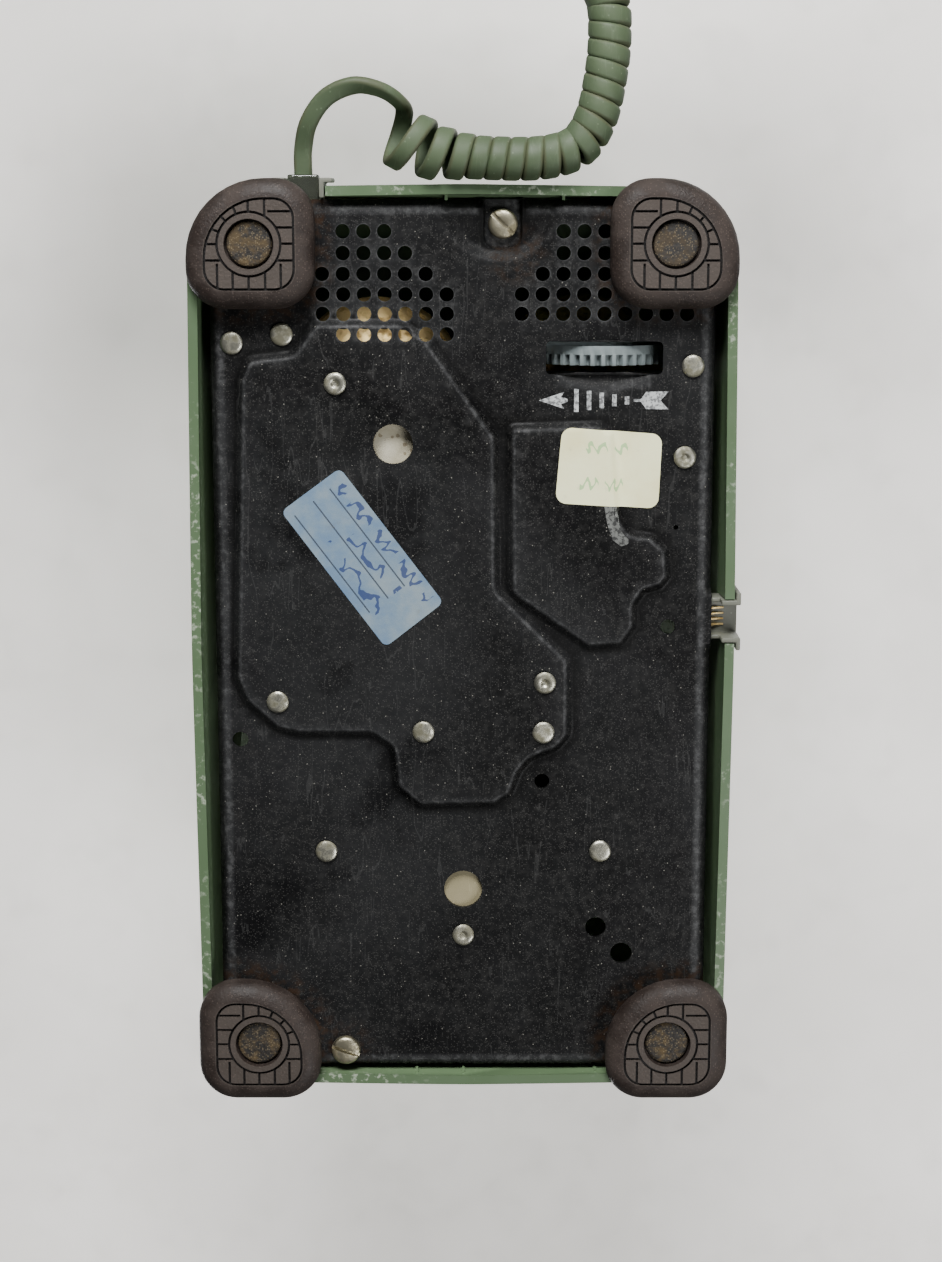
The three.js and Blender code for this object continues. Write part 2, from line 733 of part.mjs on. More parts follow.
const HOOK_LEVER_TOP = PLUNGER_BOTTOM - 0.6;
const HOOK_PIVOT_Z = HOOK_LEVER_TOP - 0.75;

function hookBracket() {
  const sheets = [-1, 1].map((s) => {
    const [near, far] = [s * 38, s * 39.5];
    return block([Math.min(near, far), 33.5, BRACKET_Z], [Math.max(near, far), 42, 86.5]);
  });
  const tie = block([-39.5, 33.5, 66], [39.5, 35, 76]);
  const rightToe = block([38, 33.5, BRACKET_Z], [51, 42, BRACKET_Z + BRACKET_SHEET]);
  const rightStrip = block([42, -17, BRACKET_Z], [51, 34, BRACKET_Z + BRACKET_SHEET]);
  const leftToe = block([-59.5, 33.5, BRACKET_Z], [-38, 42, BRACKET_Z + BRACKET_SHEET]);
  const leftStrip = block([-59.5, 41, BRACKET_Z], [-49, 52, BRACKET_Z + BRACKET_SHEET]);
  const tools = [
    rodAlongX(HOOK_PIVOT_Y, HOOK_PIVOT_Z, 1.7, -45, 45, 10),
    ...RIVETS.map(({ x, y }) => post(x, y, RIVET_SHANK_R + GAP, BRACKET_Z - 1, BRACKET_Z + 3, 6)),
  ];
  const whole = join([...sheets, tie, rightToe, rightStrip, leftToe, leftStrip]);
  return piece("hook_bracket", cut(whole, tools), zincSteel());
}

function hookLever() {
  const low = HOOK_LEVER_TOP - 1.5;
  const bar = block([-53.5, 59.5, low], [53.5, 64.5, HOOK_LEVER_TOP]);
  const arms = [-1, 1].map((s) => {
    const [near, far] = [s * 32, s * 36];
    return block([Math.min(near, far), HOOK_PIVOT_Y, low], [Math.max(near, far), 60, HOOK_LEVER_TOP]);
  });
  const pivot = rodAlongX(HOOK_PIVOT_Y, HOOK_PIVOT_Z, 1.2, -41, 41, 8);
  return piece("hook_lever", join([bar, ...arms, pivot]), zincSteel());
}

function plunger(name, sense) {
  const profile = [
    [0, PLUNGER_BOTTOM],
    [1.2, PLUNGER_BOTTOM],
    [PLUNGER_R, PLUNGER_BOTTOM + 2.5],
    [PLUNGER_R, PLUNGER_TOP - 1.6],
    [2.2, PLUNGER_TOP - 0.4],
    [0, PLUNGER_TOP],
  ];
  return piece(name, at(turned(profile, 12), sense * PLUNGER_X, CRADLE_Y, 0), clearPlastic());
}

function contactSprings() {
  const stack = block([40, 34.5, 48], [47.5, 41, 57]);
  const leaves = [41.2, 43.4, 45.6].map((x) => block([x, 35.2, 56], [x + 0.6, 40.2, 76]));
  return piece("contact_springs", join([stack, ...leaves]), brass());
}

// ---------------------------------------------------------------- dial, in its own tilted frame

// Along the dial's axis, z = 0 is the sloping face of the housing.
const RING_TOP = 1;
const WHEEL_TOP = 0.6;
const WHEEL_UNDER = -1.2;

function dialRing() {
  const profile = [
    [6.5, -3.8],
    [53.8, -3.8],
    [53.8, -0.6],
    [52, RING_TOP],
    [39, RING_TOP],
    [38, -2],
    [6.5, -2],
    [6.5, -3.8],
  ];
  return piece("number_ring", turned(profile, 36), ivoryPlastic());
}

function fingerWheel() {
  const disc = post(0, 0, FINGER_WHEEL_R, WHEEL_UNDER, WHEEL_TOP, 36);
  const holes = [];
  for (let k = 0; k < 10; k += 1) {
    const angle = THREE.MathUtils.degToRad(FIRST_HOLE_ANGLE - k * FINGER_HOLE_PITCH);
    const x = FINGER_HOLE_CIRCLE_R * Math.sin(angle);
    const y = FINGER_HOLE_CIRCLE_R * Math.cos(angle);
    holes.push(post(x, y, FINGER_HOLE_R, -5, 5, 10));
  }
  const centre = post(0, 0, 3.4, -5, 5, 10);
  return piece("finger_wheel", cut(disc, [...holes, centre]), clearPlastic());
}

function dialCard() {
  const profile = [
    [0, 1.1],
    [17, 1.1],
    [17, 2],
    [15.5, 2.6],
    [0, 2.6],
  ];
  return piece("dial_card", turned(profile, 24), ivoryPlastic());
}

function dialShaft() {
  return piece("dial_shaft", post(0, 0, 3, -3.9, 0.8), zincSteel());
}

function dialBody() {
  const profile = [
    [0, -32],
    [24, -32],
    [26, -30],
    [26, -14],
    [32, -14],
    [32, -4.2],
    [0, -4.2],
  ];
  return piece("dial_body", turned(profile, 24), khakiPlastic());
}

function fingerStop() {
  const angle = -STOP_ANGLE;
  const corners = [[-2.2, 27, 2], [2.2, 27, 2], [3.4, 44, 3], [5, 50, 2.5], [-4, 50, 2.5], [-3, 42, 3]];
  const bar = prism(rounded(corners, 45), RING_TOP + GAP, RING_TOP + GAP + 1.3);
  return piece("finger_stop", bar.rotate([0, 0, angle]), zincSteel());
}

// The bracket stands on the base plate and carries the dial from below.
function dialBracket() {
  const top = BRACKET_Z + BRACKET_SHEET;
  const cross = block([-41, -57, BRACKET_Z], [41, -47, top]);
  const tongue = block([-6, -80, BRACKET_Z], [6, -50, top]);
  const legs = [-1, 1].map((s) => {
    const [near, far] = [s * 39.5, s * 41];
    return block([Math.min(near, far), -57, BRACKET_Z], [Math.max(near, far), -15, 56]);
  });
  const topOfLegs = block([-FAR / 2, -FAR / 2, -7], [FAR / 2, FAR / 2, FAR]);
  const tilt = THREE.MathUtils.radToDeg(SLOPE);
  const inDial = (shape) => shape.rotate([tilt, 0, 0]).translate([0, DIAL_Y, DIAL_Z]);
  const ring = post(0, 0, 43, -8.6, -7, 32).subtract(post(0, 0, 33, -20, 5, 32));
  const trimmed = legs.map((leg) => leg.subtract(inDial(topOfLegs)));
  const holes = RIVETS.map(({ x, y }) => post(x, y, RIVET_SHANK_R + GAP, BRACKET_Z - 1, top + 2, 6));
  return piece("dial_bracket", cut(join([cross, tongue, ...trimmed, inDial(ring)]), holes), zincSteel());
}

function dial() {
  const group = new THREE.Group();
  group.position.set(0, DIAL_Y, DIAL_Z);
  group.rotation.x = SLOPE;
  group.add(dialRing(), fingerWheel(), dialCard(), dialShaft(), dialBody(), fingerStop());
  return group;
}

// ---------------------------------------------------------------- handset, about its own middle

const SHELL_Z = CAP_HEIGHT + GAP;
const PLUG_Z = 31.6;

function cup(x) {
  const profile = [
    [0, SHELL_Z],
    [27.2, SHELL_Z],
    [27.2, 23],
    [25.5, 31],
    [20, 39],
    [10, 43.5],
    [0, 44],
  ];
  return at(turned(profile, 24), x, 0, 0);
}

function handle() {
  const corners = [
    [92, 20, 6],
    [86, 45, 18],
    [50, 59, 60],
    [-50, 59, 60],
    [-86, 45, 18],
    [-92, 20, 6],
    [-58, 20, 4],
    [-50, 37, 20],
    [50, 37, 20],
    [58, 20, 4],
  ];
  const side = prismAlongY(rounded(corners, 22.5), -12, 12);
  const section = prismAlongX(rounded([[-12, 10, 0], [12, 10, 0], [12, 60, 9], [-12, 60, 9]]), -FAR / 2, FAR / 2);
  return side.intersect(section);
}

function handsetShell() {
  const cavities = [-1, 1].map((s) => at(post(0, 0, 24, 0, 27, 24), s * CUP_SPREAD, 0, 0));
  const socket = block([CUP_SPREAD + 13, -4.2, PLUG_Z - 2.6], [FAR, 4.2, PLUG_Z + 2.6]);
  const whole = join([handle(), cup(-CUP_SPREAD), cup(CUP_SPREAD)]);
  return piece("handset_shell", cut(whole, [...cavities, socket]), greenPlastic());
}

function handsetCap(name, x, holeCircles) {
  const profile = [
    [0, 0],
    [24, 0],
    [27, 1.2],
    [CAP_R, 4],
    [CAP_R, CAP_HEIGHT],
    [25.4, CAP_HEIGHT],
    [25.4, 2.5],
    [0, 2.5],
  ];
  const holes = holeCircles.flatMap(({ radius, count }) => {
    const ring = [];
    for (let k = 0; k < count; k += 1) {
      const angle = (2 * Math.PI * k) / count;
      ring.push(post(radius * Math.cos(angle), radius * Math.sin(angle), 1.3, -1, 4, 6));
    }
    return ring;
  });
  return piece(name, at(cut(turned(profile, 24), holes), x, 0, 0), greenPlastic());
}

function capsule(name, x, top) {
  const profile = [
    [0, 2.5 + GAP],
    [21, 2.5 + GAP],
    [23.2, 6],
    [23.2, top],
    [0, top],
  ];
  return piece(name, at(turned(profile, 20), x, 0, 0), zincSteel());
}

function handset() {
  const group = new THREE.Group();
  group.position.set(HANDSET_X, HANDSET_Y, 0);
  group.add(
    handsetShell(),
    handsetCap("transmitter_cap", CUP_SPREAD, [{ radius: 12, count: 6 }, { radius: 5, count: 3 }]),
    handsetCap("receiver_cap", -CUP_SPREAD, [{ radius: 6, count: 5 }]),
    capsule("transmitter_unit", CUP_SPREAD, 24),
    capsule("receiver_unit", -CUP_SPREAD, 22),
  );
  return group;
}

// ---------------------------------------------------------------- cord and plugs

// The flat cord from the rear jack to the first turn of the coil.
const LEAD_ROUTE = [
  [38.6, 117, 12.8],
  [38.5, 122, 11.8],
  [36.8, 128.5, 7.4],
  [32.4, 134.2, 5.4],
  [25.8, 136.8, 5.2],
  [19.4, 135.2, 5.2],
  [15.8, 131, 5.3],
  [14.3, 127.9, 5.4],
];

// The middle line of the coiled part.
const COIL_ROUTE = [
  [13.9, 127, 5.3],
  [10.4, 123.2, 5.3],
  [4, 120.6, 5.3],
  [-8, 119.9, 5.3],
  [-20, 120.2, 5.3],
  [-27.5, 122.8, 5.3],
  [-31.6, 129, 5.3],
  [-33.8, 138, 5.3],
  [-34.8, 148, 5.3],
  [-34, 157, 5.3],
  [-29.5, 163.5, 5.3],
  [-21, 166.5, 5.3],
  [-8, 166.6, 5.3],
  [8, 164.8, 5.3],
  [28, 162.6, 5.3],
  [52, 162, 5.3],
  [80, 162, 5.3],
  [104, 162.2, 5.3],
  [110, 162.6, 5.3],
];

// The flat cord from the last turn to the plug in the handset.
const TAIL_ROUTE = [
  [111, 162.7, 5.2],
  [118, 164, 3.6],
  [125.5, 168, 3],
  [130, 174.6, 3.4],
  [131.4, 182, 8],
  [129, 189.5, 18],
  [123.5, 195, 28],
  [118, 196, 31.4],
];

function tube(name, route, radius, steps, material) {
  const curve = new THREE.CatmullRomCurve3(route.map(([x, y, z]) => new THREE.Vector3(x, y, z)));
  const section = new THREE.Shape();
  for (let k = 0; k < 8; k += 1) {
    const angle = (Math.PI * (2 * k + 1)) / 8;
    const [x, y] = [radius * Math.cos(angle), radius * Math.sin(angle)];
    if (k === 0) {
      section.moveTo(x, y);
    } else {
      section.lineTo(x, y);
    }
  }
  section.closePath();
  const geometry = new THREE.ExtrudeGeometry(section, { steps, extrudePath: curve, bevelEnabled: false });
  return piece(name, solid(geometry), material);
}

function basePlug() {
  const [x, y] = [REAR_JACK_X, RIM_HALF_LENGTH + 1];
  const shape = block([x - 3.8, y - 9.5, 10.9], [x + 3.8, y + 2.2, 14.9]);
  return piece("base_plug", shape, clearPlastic());
}

function handsetPlug() {
  const x = HANDSET_X + CUP_SPREAD;
  const shape = block([x + 14, HANDSET_Y - 3.8, PLUG_Z - 2.2], [x + 27.6, HANDSET_Y + 3.8, PLUG_Z + 2.2]);
  return piece("handset_plug", shape, clearPlastic());
}

// ---------------------------------------------------------------- the whole set

const set = new THREE.Group();
set.position.set(-ORIGIN_X, -ORIGIN_Y, 0);
set.add(
  basePlate(RIVETS.map(({ x, y }) => [x, y])),
  ...RIVETS.map(rivet),
  ...FOOT_PLACES.map(foot),
  ...FOOT_PLACES.map(footRivet),
  housingScrew("rear", REAR_SCREW, 3.4, 9.6, 11.9),
  housingScrew("front", FRONT_SCREW, 3.7, 7, 8.7),
  housing(),
  jack("line_jack", -RIM_HALF_WIDTH - RIM_BOW, SIDE_JACK_Y, 90),
  jack("handset_jack", REAR_JACK_X, RIM_HALF_LENGTH + 1, 0),
  networkBoard(),
  networkCan(),
  ringerFrame(),
  ringerCoil(),
  gong("gong_large", BIG_GONG),
  gong("gong_small", SMALL_GONG),
  gongScrew("gong_screw_large", BIG_GONG, 12.9, 14.7, 24),
  gongScrew("gong_screw_small", SMALL_GONG, 48.1, 50, 38),
  clapper(),
  loudnessWheel(),
  hookBracket(),
  hookLever(),
  plunger("plunger_left", -1),
  plunger("plunger_right", 1),
  contactSprings(),
  dialBracket(),
  dial(),
  handset(),
  tube("cord_lead", LEAD_ROUTE, CORD_R, 9, greenPlastic()),
  tube("cord_coil", COIL_ROUTE, COIL_R, 34, greenPlastic()),
  tube("cord_tail", TAIL_ROUTE, CORD_R, 12, greenPlastic()),
  basePlug(),
  handsetPlug(),
);

export default set;
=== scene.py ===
# %% [markdown]
# # A rotary desk telephone, seen from below
#
# The set stands on its four rubber feet and the camera looks up at its base plate. This first cell loads
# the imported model. Its nodes fix where everything is. The later cells build finer meshes around those
# places, and give every piece its finish.

# %% Load the frame
import math
import random

import bmesh
import bpy
import numpy as np
from mathutils import Matrix, Vector, geometry


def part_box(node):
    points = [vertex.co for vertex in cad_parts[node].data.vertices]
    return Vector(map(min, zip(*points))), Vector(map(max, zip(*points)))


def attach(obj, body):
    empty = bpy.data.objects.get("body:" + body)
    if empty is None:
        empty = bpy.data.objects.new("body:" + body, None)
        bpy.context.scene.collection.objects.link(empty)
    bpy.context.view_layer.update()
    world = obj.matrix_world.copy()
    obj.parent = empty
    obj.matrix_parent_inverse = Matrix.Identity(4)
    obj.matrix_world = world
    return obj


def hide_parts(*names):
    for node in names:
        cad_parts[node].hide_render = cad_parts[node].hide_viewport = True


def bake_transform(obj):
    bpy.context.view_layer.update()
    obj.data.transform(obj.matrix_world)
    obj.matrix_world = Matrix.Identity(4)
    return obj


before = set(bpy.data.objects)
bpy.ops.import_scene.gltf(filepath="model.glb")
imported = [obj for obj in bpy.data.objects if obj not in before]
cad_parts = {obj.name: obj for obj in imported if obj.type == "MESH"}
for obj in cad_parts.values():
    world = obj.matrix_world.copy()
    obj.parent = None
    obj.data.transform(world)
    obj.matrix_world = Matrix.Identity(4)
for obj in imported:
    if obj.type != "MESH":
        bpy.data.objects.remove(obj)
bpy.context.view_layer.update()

# %% [markdown]
# ## One place to measure from
#
# A telephone is drawn from the middle of its base plate, in millimetres. Every mesh below is made in that
# drawing frame and moved once, when its piece is made. So a number in a cell is a number that a maker
# could check with a caliper.

# %% The drawing frame
MM = 0.001
low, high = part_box("base_plate")
PLATE_MIDDLE = Vector(((low.x + high.x) / 2, (low.y + high.y) / 2, 0))


def place(x, y, z):
    return PLATE_MIDDLE + Vector((x, y, z)) * MM


def drawn_box(node):
    """A CAD node's box in drawing millimetres."""
    lower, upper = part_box(node)
    return (lower - PLATE_MIDDLE) / MM, (upper - PLATE_MIDDLE) / MM


def middle(node):
    lower, upper = drawn_box(node)
    return (lower + upper) / 2


print("base plate in mm:", [round(v, 1) for v in drawn_box("base_plate")[1]])

# %% [markdown]
# ## Camera
#
# The view is square on to the base plate, tilted by about ten degrees, so that the inner face of the front
# wall just shows. A long lens keeps the sides of the housing nearly parallel. The camera is built from a
# viewing direction and an up direction, because those can be read from a drawing.

# %% Camera
TILT = math.radians(10.5)
EYE = (-2, 109, -555)


def make_camera():
    data = bpy.data.cameras.new("camera")
    data.lens = 65.6
    data.sensor_width = 36
    camera = bpy.data.objects.new("camera", data)
    bpy.context.collection.objects.link(camera)
    forward = Vector((0, -math.sin(TILT), math.cos(TILT)))
    up = Vector((0, math.cos(TILT), math.sin(TILT)))
    right = forward.cross(up)
    facing = Matrix((right, up, -forward)).transposed().to_4x4()
    camera.matrix_world = Matrix.Translation(place(*EYE)) @ facing
    bpy.context.scene.camera = camera
    return camera


camera = make_camera()
print("camera at", [round(v, 3) for v in camera.location])

# %% [markdown]
# ## Small tools for meshes
#
# Almost every piece of a telephone is turned, bent from sheet or moulded. So a few helpers are enough: an
# outline with rounded corners, a turned profile, a prism, and boolean cuts that are applied at once, which
# leaves plain meshes with no modifiers.


# %% Outlines
def rounded(corners, step=12):
    """Corners are (x, y, radius). Each corner becomes an arc with a point every few degrees."""
    points = []
    count = len(corners)
    for i, (x, y, radius) in enumerate(corners):
        here = Vector((x, y))
        before = (Vector(corners[i - 1][:2]) - here).normalized()
        after = (Vector(corners[(i + 1) % count][:2]) - here).normalized()
        opening = before.angle(after)
        if radius == 0 or opening > 3.1:
            points.append(here)
            continue
        centre = here + (before + after).normalized() * radius / math.sin(opening / 2)
        spoke = here + before * radius / math.tan(opening / 2) - centre
        turn = math.pi - opening
        sides = max(1, math.ceil(math.degrees(turn) / step))
        sense = 1 if after.x * before.y - after.y * before.x > 0 else -1
        for k in range(sides + 1):
            points.append(centre + Matrix.Rotation(sense * turn * k / sides, 2) @ spoke)
    return points


def circle(x, y, radius, sides):
    turns = [2 * math.pi * k / sides for k in range(sides)]
    return [Vector((x + radius * math.cos(t), y + radius * math.sin(t))) for t in turns]


def resampled(loop, step):
    """Points along a closed outline, about a step apart, with the corners kept."""
    points = []
    for i, a in enumerate(loop):
        b = loop[(i + 1) % len(loop)]
        parts = max(1, round((b - a).length / step))
        points += [a.lerp(b, k / parts) for k in range(parts)]
    return points


def loop_distance(points, loop):
    """Distance of each point from a closed outline, positive inside."""
    p = np.asarray(points, float)[:, None, :]
    a = np.asarray([tuple(v) for v in loop])[None]
    b = np.roll(a, -1, axis=1)
    ab = b - a
    t = np.clip(((p - a) * ab).sum(2) / np.maximum((ab * ab).sum(2), 1e-12), 0, 1)
    near = np.linalg.norm(p - a - ab * t[..., None], axis=2).min(1)
    crosses = (a[..., 1] > p[..., 1]) != (b[..., 1] > p[..., 1])
    rise = np.where(ab[..., 1] == 0, 1, ab[..., 1])
    left = p[..., 0] < ab[..., 0] * (p[..., 1] - a[..., 1]) / rise + a[..., 0]
    inside = (crosses & left).sum(1) % 2 == 1
    return np.where(inside, near, -near)


def smooth_step(t):
    t = np.clip(t, 0, 1)
    return t * t * (3 - 2 * t)


# %% Meshes
def new_piece(name, verts, faces, sharp=35):
    """A piece from millimetre points in the drawing frame. Edges over the sharp angle stay crisp."""
    mesh = bpy.data.meshes.new(name)
    mesh.from_pydata([tuple(place(*v)) for v in verts], [], faces)
    work = bmesh.new()
    work.from_mesh(mesh)
    bmesh.ops.remove_doubles(work, verts=work.verts, dist=1e-6)
    bmesh.ops.recalc_face_normals(work, faces=work.faces)
    work.to_mesh(mesh)
    work.free()
    piece = bpy.data.objects.new(name, mesh)
    bpy.context.collection.objects.link(piece)
    shade(piece, sharp)
    return piece


def shade(piece, sharp=35):
    piece.data.shade_smooth()
    piece.data.set_sharp_from_angle(angle=math.radians(sharp))


def joined(parts):
    """Several (points, faces) pairs as one."""
    verts, faces = [], []
    for more_verts, more_faces in parts:
        faces += [tuple(i + len(verts) for i in face) for face in more_faces]
        verts += list(more_verts)
    return verts, faces


def turned(profile, sides=32, at=(0, 0, 0)):
    """A profile of (radius, height) pairs turned about Z. A radius of 0 closes it."""
    x, y, z = at
    verts, rings = [], []
    for radius, height in profile:
        if radius == 0:
            verts.append((x, y, z + height))
            rings.append([len(verts) - 1] * sides)
            continue
        rings.append(list(range(len(verts), len(verts) + sides)))
        for k in range(sides):
            turn = 2 * math.pi * k / sides
            verts.append((x + radius * math.cos(turn), y + radius * math.sin(turn), z + height))
    faces = []
    for a, b in zip(rings, rings[1:]):
        for k in range(sides):
            n = (k + 1) % sides
            face = list(dict.fromkeys((a[k], a[n], b[n], b[k])))
            if len(face) > 2:
                faces.append(tuple(face))
    return verts, faces


def prism(loop, low, high, axis="z"):
    """An outline pushed along an axis: x takes (y, z) outlines, y takes (x, z) and z takes (x, y)."""
    ways = {
        "x": lambda p, h: (h, p.x, p.y),
        "y": lambda p, h: (p.x, h, p.y),
        "z": lambda p, h: (p.x, p.y, h),
    }
    lay = ways[axis]
    count = len(loop)
    verts = [lay(p, low) for p in loop] + [lay(p, high) for p in loop]
    walls = [(k, (k + 1) % count, (k + 1) % count + count, k + count) for k in range(count)]
    return verts, [tuple(range(count))[::-1], tuple(range(count, 2 * count)), *walls]


def block(lower, upper):
    (x0, y0, z0), (x1, y1, z1) = lower, upper
    return prism([Vector(p) for p in ((x0, y0), (x1, y0), (x1, y1), (x0, y1))], z0, z1)


def tube_faces(rings, count):
    """The faces of a closed tube through rings of points, with a cap at each end."""
    faces = [tuple(range(count))]
    for i in range(rings - 1):
        for k in range(count):
            a, b = i * count + k, i * count + (k + 1) % count
            faces.append((a, b, b + count, a + count))
    last = (rings - 1) * count
    faces.append(tuple(last + k for k in reversed(range(count))))
    return faces


def drawn_points(piece):
    """A piece's points in drawing millimetres."""
    return np.array([tuple((v.co - PLATE_MIDDLE) / MM) for v in piece.data.vertices])


def put(piece, at, rotation):
    """Turns a piece that was made round the drawing's zero, and moves it to its place."""
    piece.data.transform(Matrix.Translation(place(*at)) @ rotation @ Matrix.Translation(-PLATE_MIDDLE))
    return piece


def apply_modifiers(piece):
    graph = bpy.context.evaluated_depsgraph_get()
    mesh = bpy.data.meshes.new_from_object(piece.evaluated_get(graph))
    piece.modifiers.clear()
    piece.data = mesh


def carve(piece, tools, operation="DIFFERENCE"):
    """Cuts, joins or intersects a piece with other closed pieces, and removes those."""
    for tool in tools:
        cut = piece.modifiers.new("cut", "BOOLEAN")
        cut.operation = operation
        cut.solver = "MANIFOLD"
        cut.object = tool
    apply_modifiers(piece)
    for tool in tools:
        bpy.data.objects.remove(tool)


def bevelled(piece, width, segments=3, angle=40):
    bevel = piece.modifiers.new("bevel", "BEVEL")
    bevel.width = width * MM
    bevel.segments = segments
    bevel.limit_method = "ANGLE"
    bevel.angle_limit = math.radians(angle)
    bevel.harden_normals = False
    apply_modifiers(piece)
    shade(piece)
    return piece


def settle(piece, body, material, slot, *nodes):
    """Gives a piece its finish and the body that it rides on, and hides the CAD nodes that it stands for."""
    piece.data.materials.clear()
    piece.data.materials.append(material)
    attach(piece, body)
    if nodes:
        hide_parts(*nodes)
    return piece


# %% [markdown]
# ## Shared effects
#
# Age shows in the same few ways on every piece: blotches, dust specks, fine grain and scratches. Each one
# is a node group with its own sockets, so that a change to it reaches every material. A group gives only a
# mask or a normal. The shader itself stays in the material, where its other values can be read.


# %% Node helpers
def add(tree, kind, inputs=(), **settings):
    made = tree.nodes.new(kind)
    for key, value in settings.items():
        setattr(made, key, value)
    for key, value in dict(inputs).items():
        if isinstance(value, bpy.types.NodeSocket):
            tree.links.new(value, made.inputs[key])
        else:
            made.inputs[key].default_value = value
    return made


def maths(tree, operation, a, b=0.5):
    return add(tree, "ShaderNodeMath", {0: a, 1: b}, operation=operation).outputs[0]


def ramp(tree, value, low, high, to_low=0.0, to_high=1.0):
    """Takes the range low to high of a value to a new range, with smooth ends."""
    inputs = {"Value": value, "From Min": low, "From Max": high, "To Min": to_low, "To Max": to_high}
    return add(tree, "ShaderNodeMapRange", inputs, interpolation_type="SMOOTHSTEP").outputs["Result"]


def mix(tree, factor, a, b):
    made = add(tree, "ShaderNodeMix", data_type="RGBA")
    for index, value in ((0, factor), (6, a), (7, b)):
        if isinstance(value, bpy.types.NodeSocket):
            tree.links.new(value, made.inputs[index])
        else:
            made.inputs[index].default_value = value
    return made.outputs[2]


def new_group(name, inputs, outputs):
    tree = bpy.data.node_groups.new(name, "ShaderNodeTree")
    for label, value in inputs.items():
        tree.interface.new_socket(label, in_out="INPUT", socket_type="NodeSocketFloat").default_value = value
    for label, kind in outputs.items():
        tree.interface.new_socket(label, in_out="OUTPUT", socket_type=kind)
    return tree, tree.nodes.new("NodeGroupInput").outputs, tree.nodes.new("NodeGroupOutput").inputs


# %% Blotches: broad soft patches of dirt, fading or rubbed paint
def make_blotches():
    inputs = {"Scale": 60.0, "Low": 0.45, "High": 0.65}
    tree, given, result = new_group("Blotches", inputs, {"Mask": "NodeSocketFloat"})
    where = add(tree, "ShaderNodeTexCoord").outputs["Object"]
    settings = {"Vector": where, "Scale": given["Scale"], "Detail": 6.0, "Roughness": 0.62}
    noise = add(tree, "ShaderNodeTexNoise", settings)
    tree.links.new(ramp(tree, noise.outputs["Fac"], given["Low"], given["High"]), result["Mask"])
    return tree


# %% Specks: small separate grains of dust or rust
def make_specks():
    inputs = {"Scale": 700.0, "Size": 0.25, "Cover": 0.5}
    tree, given, result = new_group("Specks", inputs, {"Mask": "NodeSocketFloat"})
    where = add(tree, "ShaderNodeTexCoord").outputs["Object"]
    cells = add(tree, "ShaderNodeTexVoronoi", {"Vector": where, "Scale": given["Scale"]})
    grain = maths(tree, "LESS_THAN", cells.outputs["Distance"], given["Size"])
    picked = add(tree, "ShaderNodeSeparateColor", {"Color": cells.outputs["Color"]}).outputs["Red"]
    some = maths(tree, "LESS_THAN", picked, given["Cover"])
    tree.links.new(maths(tree, "MULTIPLY", grain, some), result["Mask"])
    return tree


# %% Scratches: thin hairlines in three directions
def make_scratches():
    inputs = {"Scale": 30.0, "Width": 0.02, "Cover": 0.5}
    tree, given, result = new_group("Scratches", inputs, {"Mask": "NodeSocketFloat"})
    where = add(tree, "ShaderNodeTexCoord").outputs["Object"]
    total = 0.0
    for turn, stretch in ((0.35, 9.0), (-0.9, 7.0), (1.45, 11.0)):
        drawn_out = {"Vector": where, "Rotation": (0, 0, turn), "Scale": (stretch, 1, 1)}
        spot = add(tree, "ShaderNodeMapping", drawn_out).outputs[0]
        lines = add(tree, "ShaderNodeTexNoise", {"Vector": spot, "Scale": given["Scale"], "Detail": 3.0})
        off = maths(tree, "ABSOLUTE", maths(tree, "SUBTRACT", lines.outputs["Fac"], 0.5))
        line = maths(tree, "LESS_THAN", off, given["Width"])
        patch = add(tree, "ShaderNodeTexNoise", {"Vector": where, "Scale": 55.0 + 20 * turn})
        shown = maths(tree, "GREATER_THAN", patch.outputs["Fac"], given["Cover"])
        total = maths(tree, "MAXIMUM", maths(tree, "MULTIPLY", line, shown), total)
    tree.links.new(total, result["Mask"])
    return tree


# %% Grain: the fine bumps of moulded, cast or painted surfaces
def make_grain():
    inputs = {"Scale": 900.0, "Strength": 0.2, "Depth": 0.0002}
    tree, given, result = new_group("Grain", inputs, {"Normal": "NodeSocketVector"})
    where = add(tree, "ShaderNodeTexCoord").outputs["Object"]
    noise = add(tree, "ShaderNodeTexNoise", {"Vector": where, "Scale": given["Scale"], "Detail": 4.0})
    relief = {"Strength": given["Strength"], "Distance": given["Depth"], "Height": noise.outputs["Fac"]}
    bump = add(tree, "ShaderNodeBump", relief)
    tree.links.new(bump.outputs["Normal"], result["Normal"])
    return tree


BLOTCHES, SPECKS, SCRATCHES, GRAIN = make_blotches(), make_specks(), make_scratches(), make_grain()


def effect(tree, group, output="Mask", **values):
    made = tree.nodes.new("ShaderNodeGroup")
    made.node_tree = group
    for key, value in values.items():
        made.inputs[key].default_value = value
    return made.outputs[output]


def new_material(name, **plain):
    """A material and its shader. The plain values go straight onto the shader's sockets."""
    material = bpy.data.materials.new(name)
    material.use_nodes = True
    shader = material.node_tree.nodes["Principled BSDF"]
    for key, value in plain.items():
        shader.inputs[key.replace("_", " ")].default_value = value
    return material, material.node_tree, shader


def over(tree, color, mask, strength, paint):
    """Lays a paint over a colour wherever the mask is, at the given strength."""
    return mix(tree, maths(tree, "MULTIPLY", mask, strength), color, (*paint, 1))


def grained(tree, shader, scale, strength, depth):
    grain = effect(tree, GRAIN, "Normal", Scale=scale, Strength=strength, Depth=depth)
    tree.links.new(grain, shader.inputs["Normal"])


def attribute(tree, name):
    return add(tree, "ShaderNodeAttribute", attribute_name=name).outputs["Fac"]


print("effects:", [g.name for g in (BLOTCHES, SPECKS, SCRATCHES, GRAIN)])
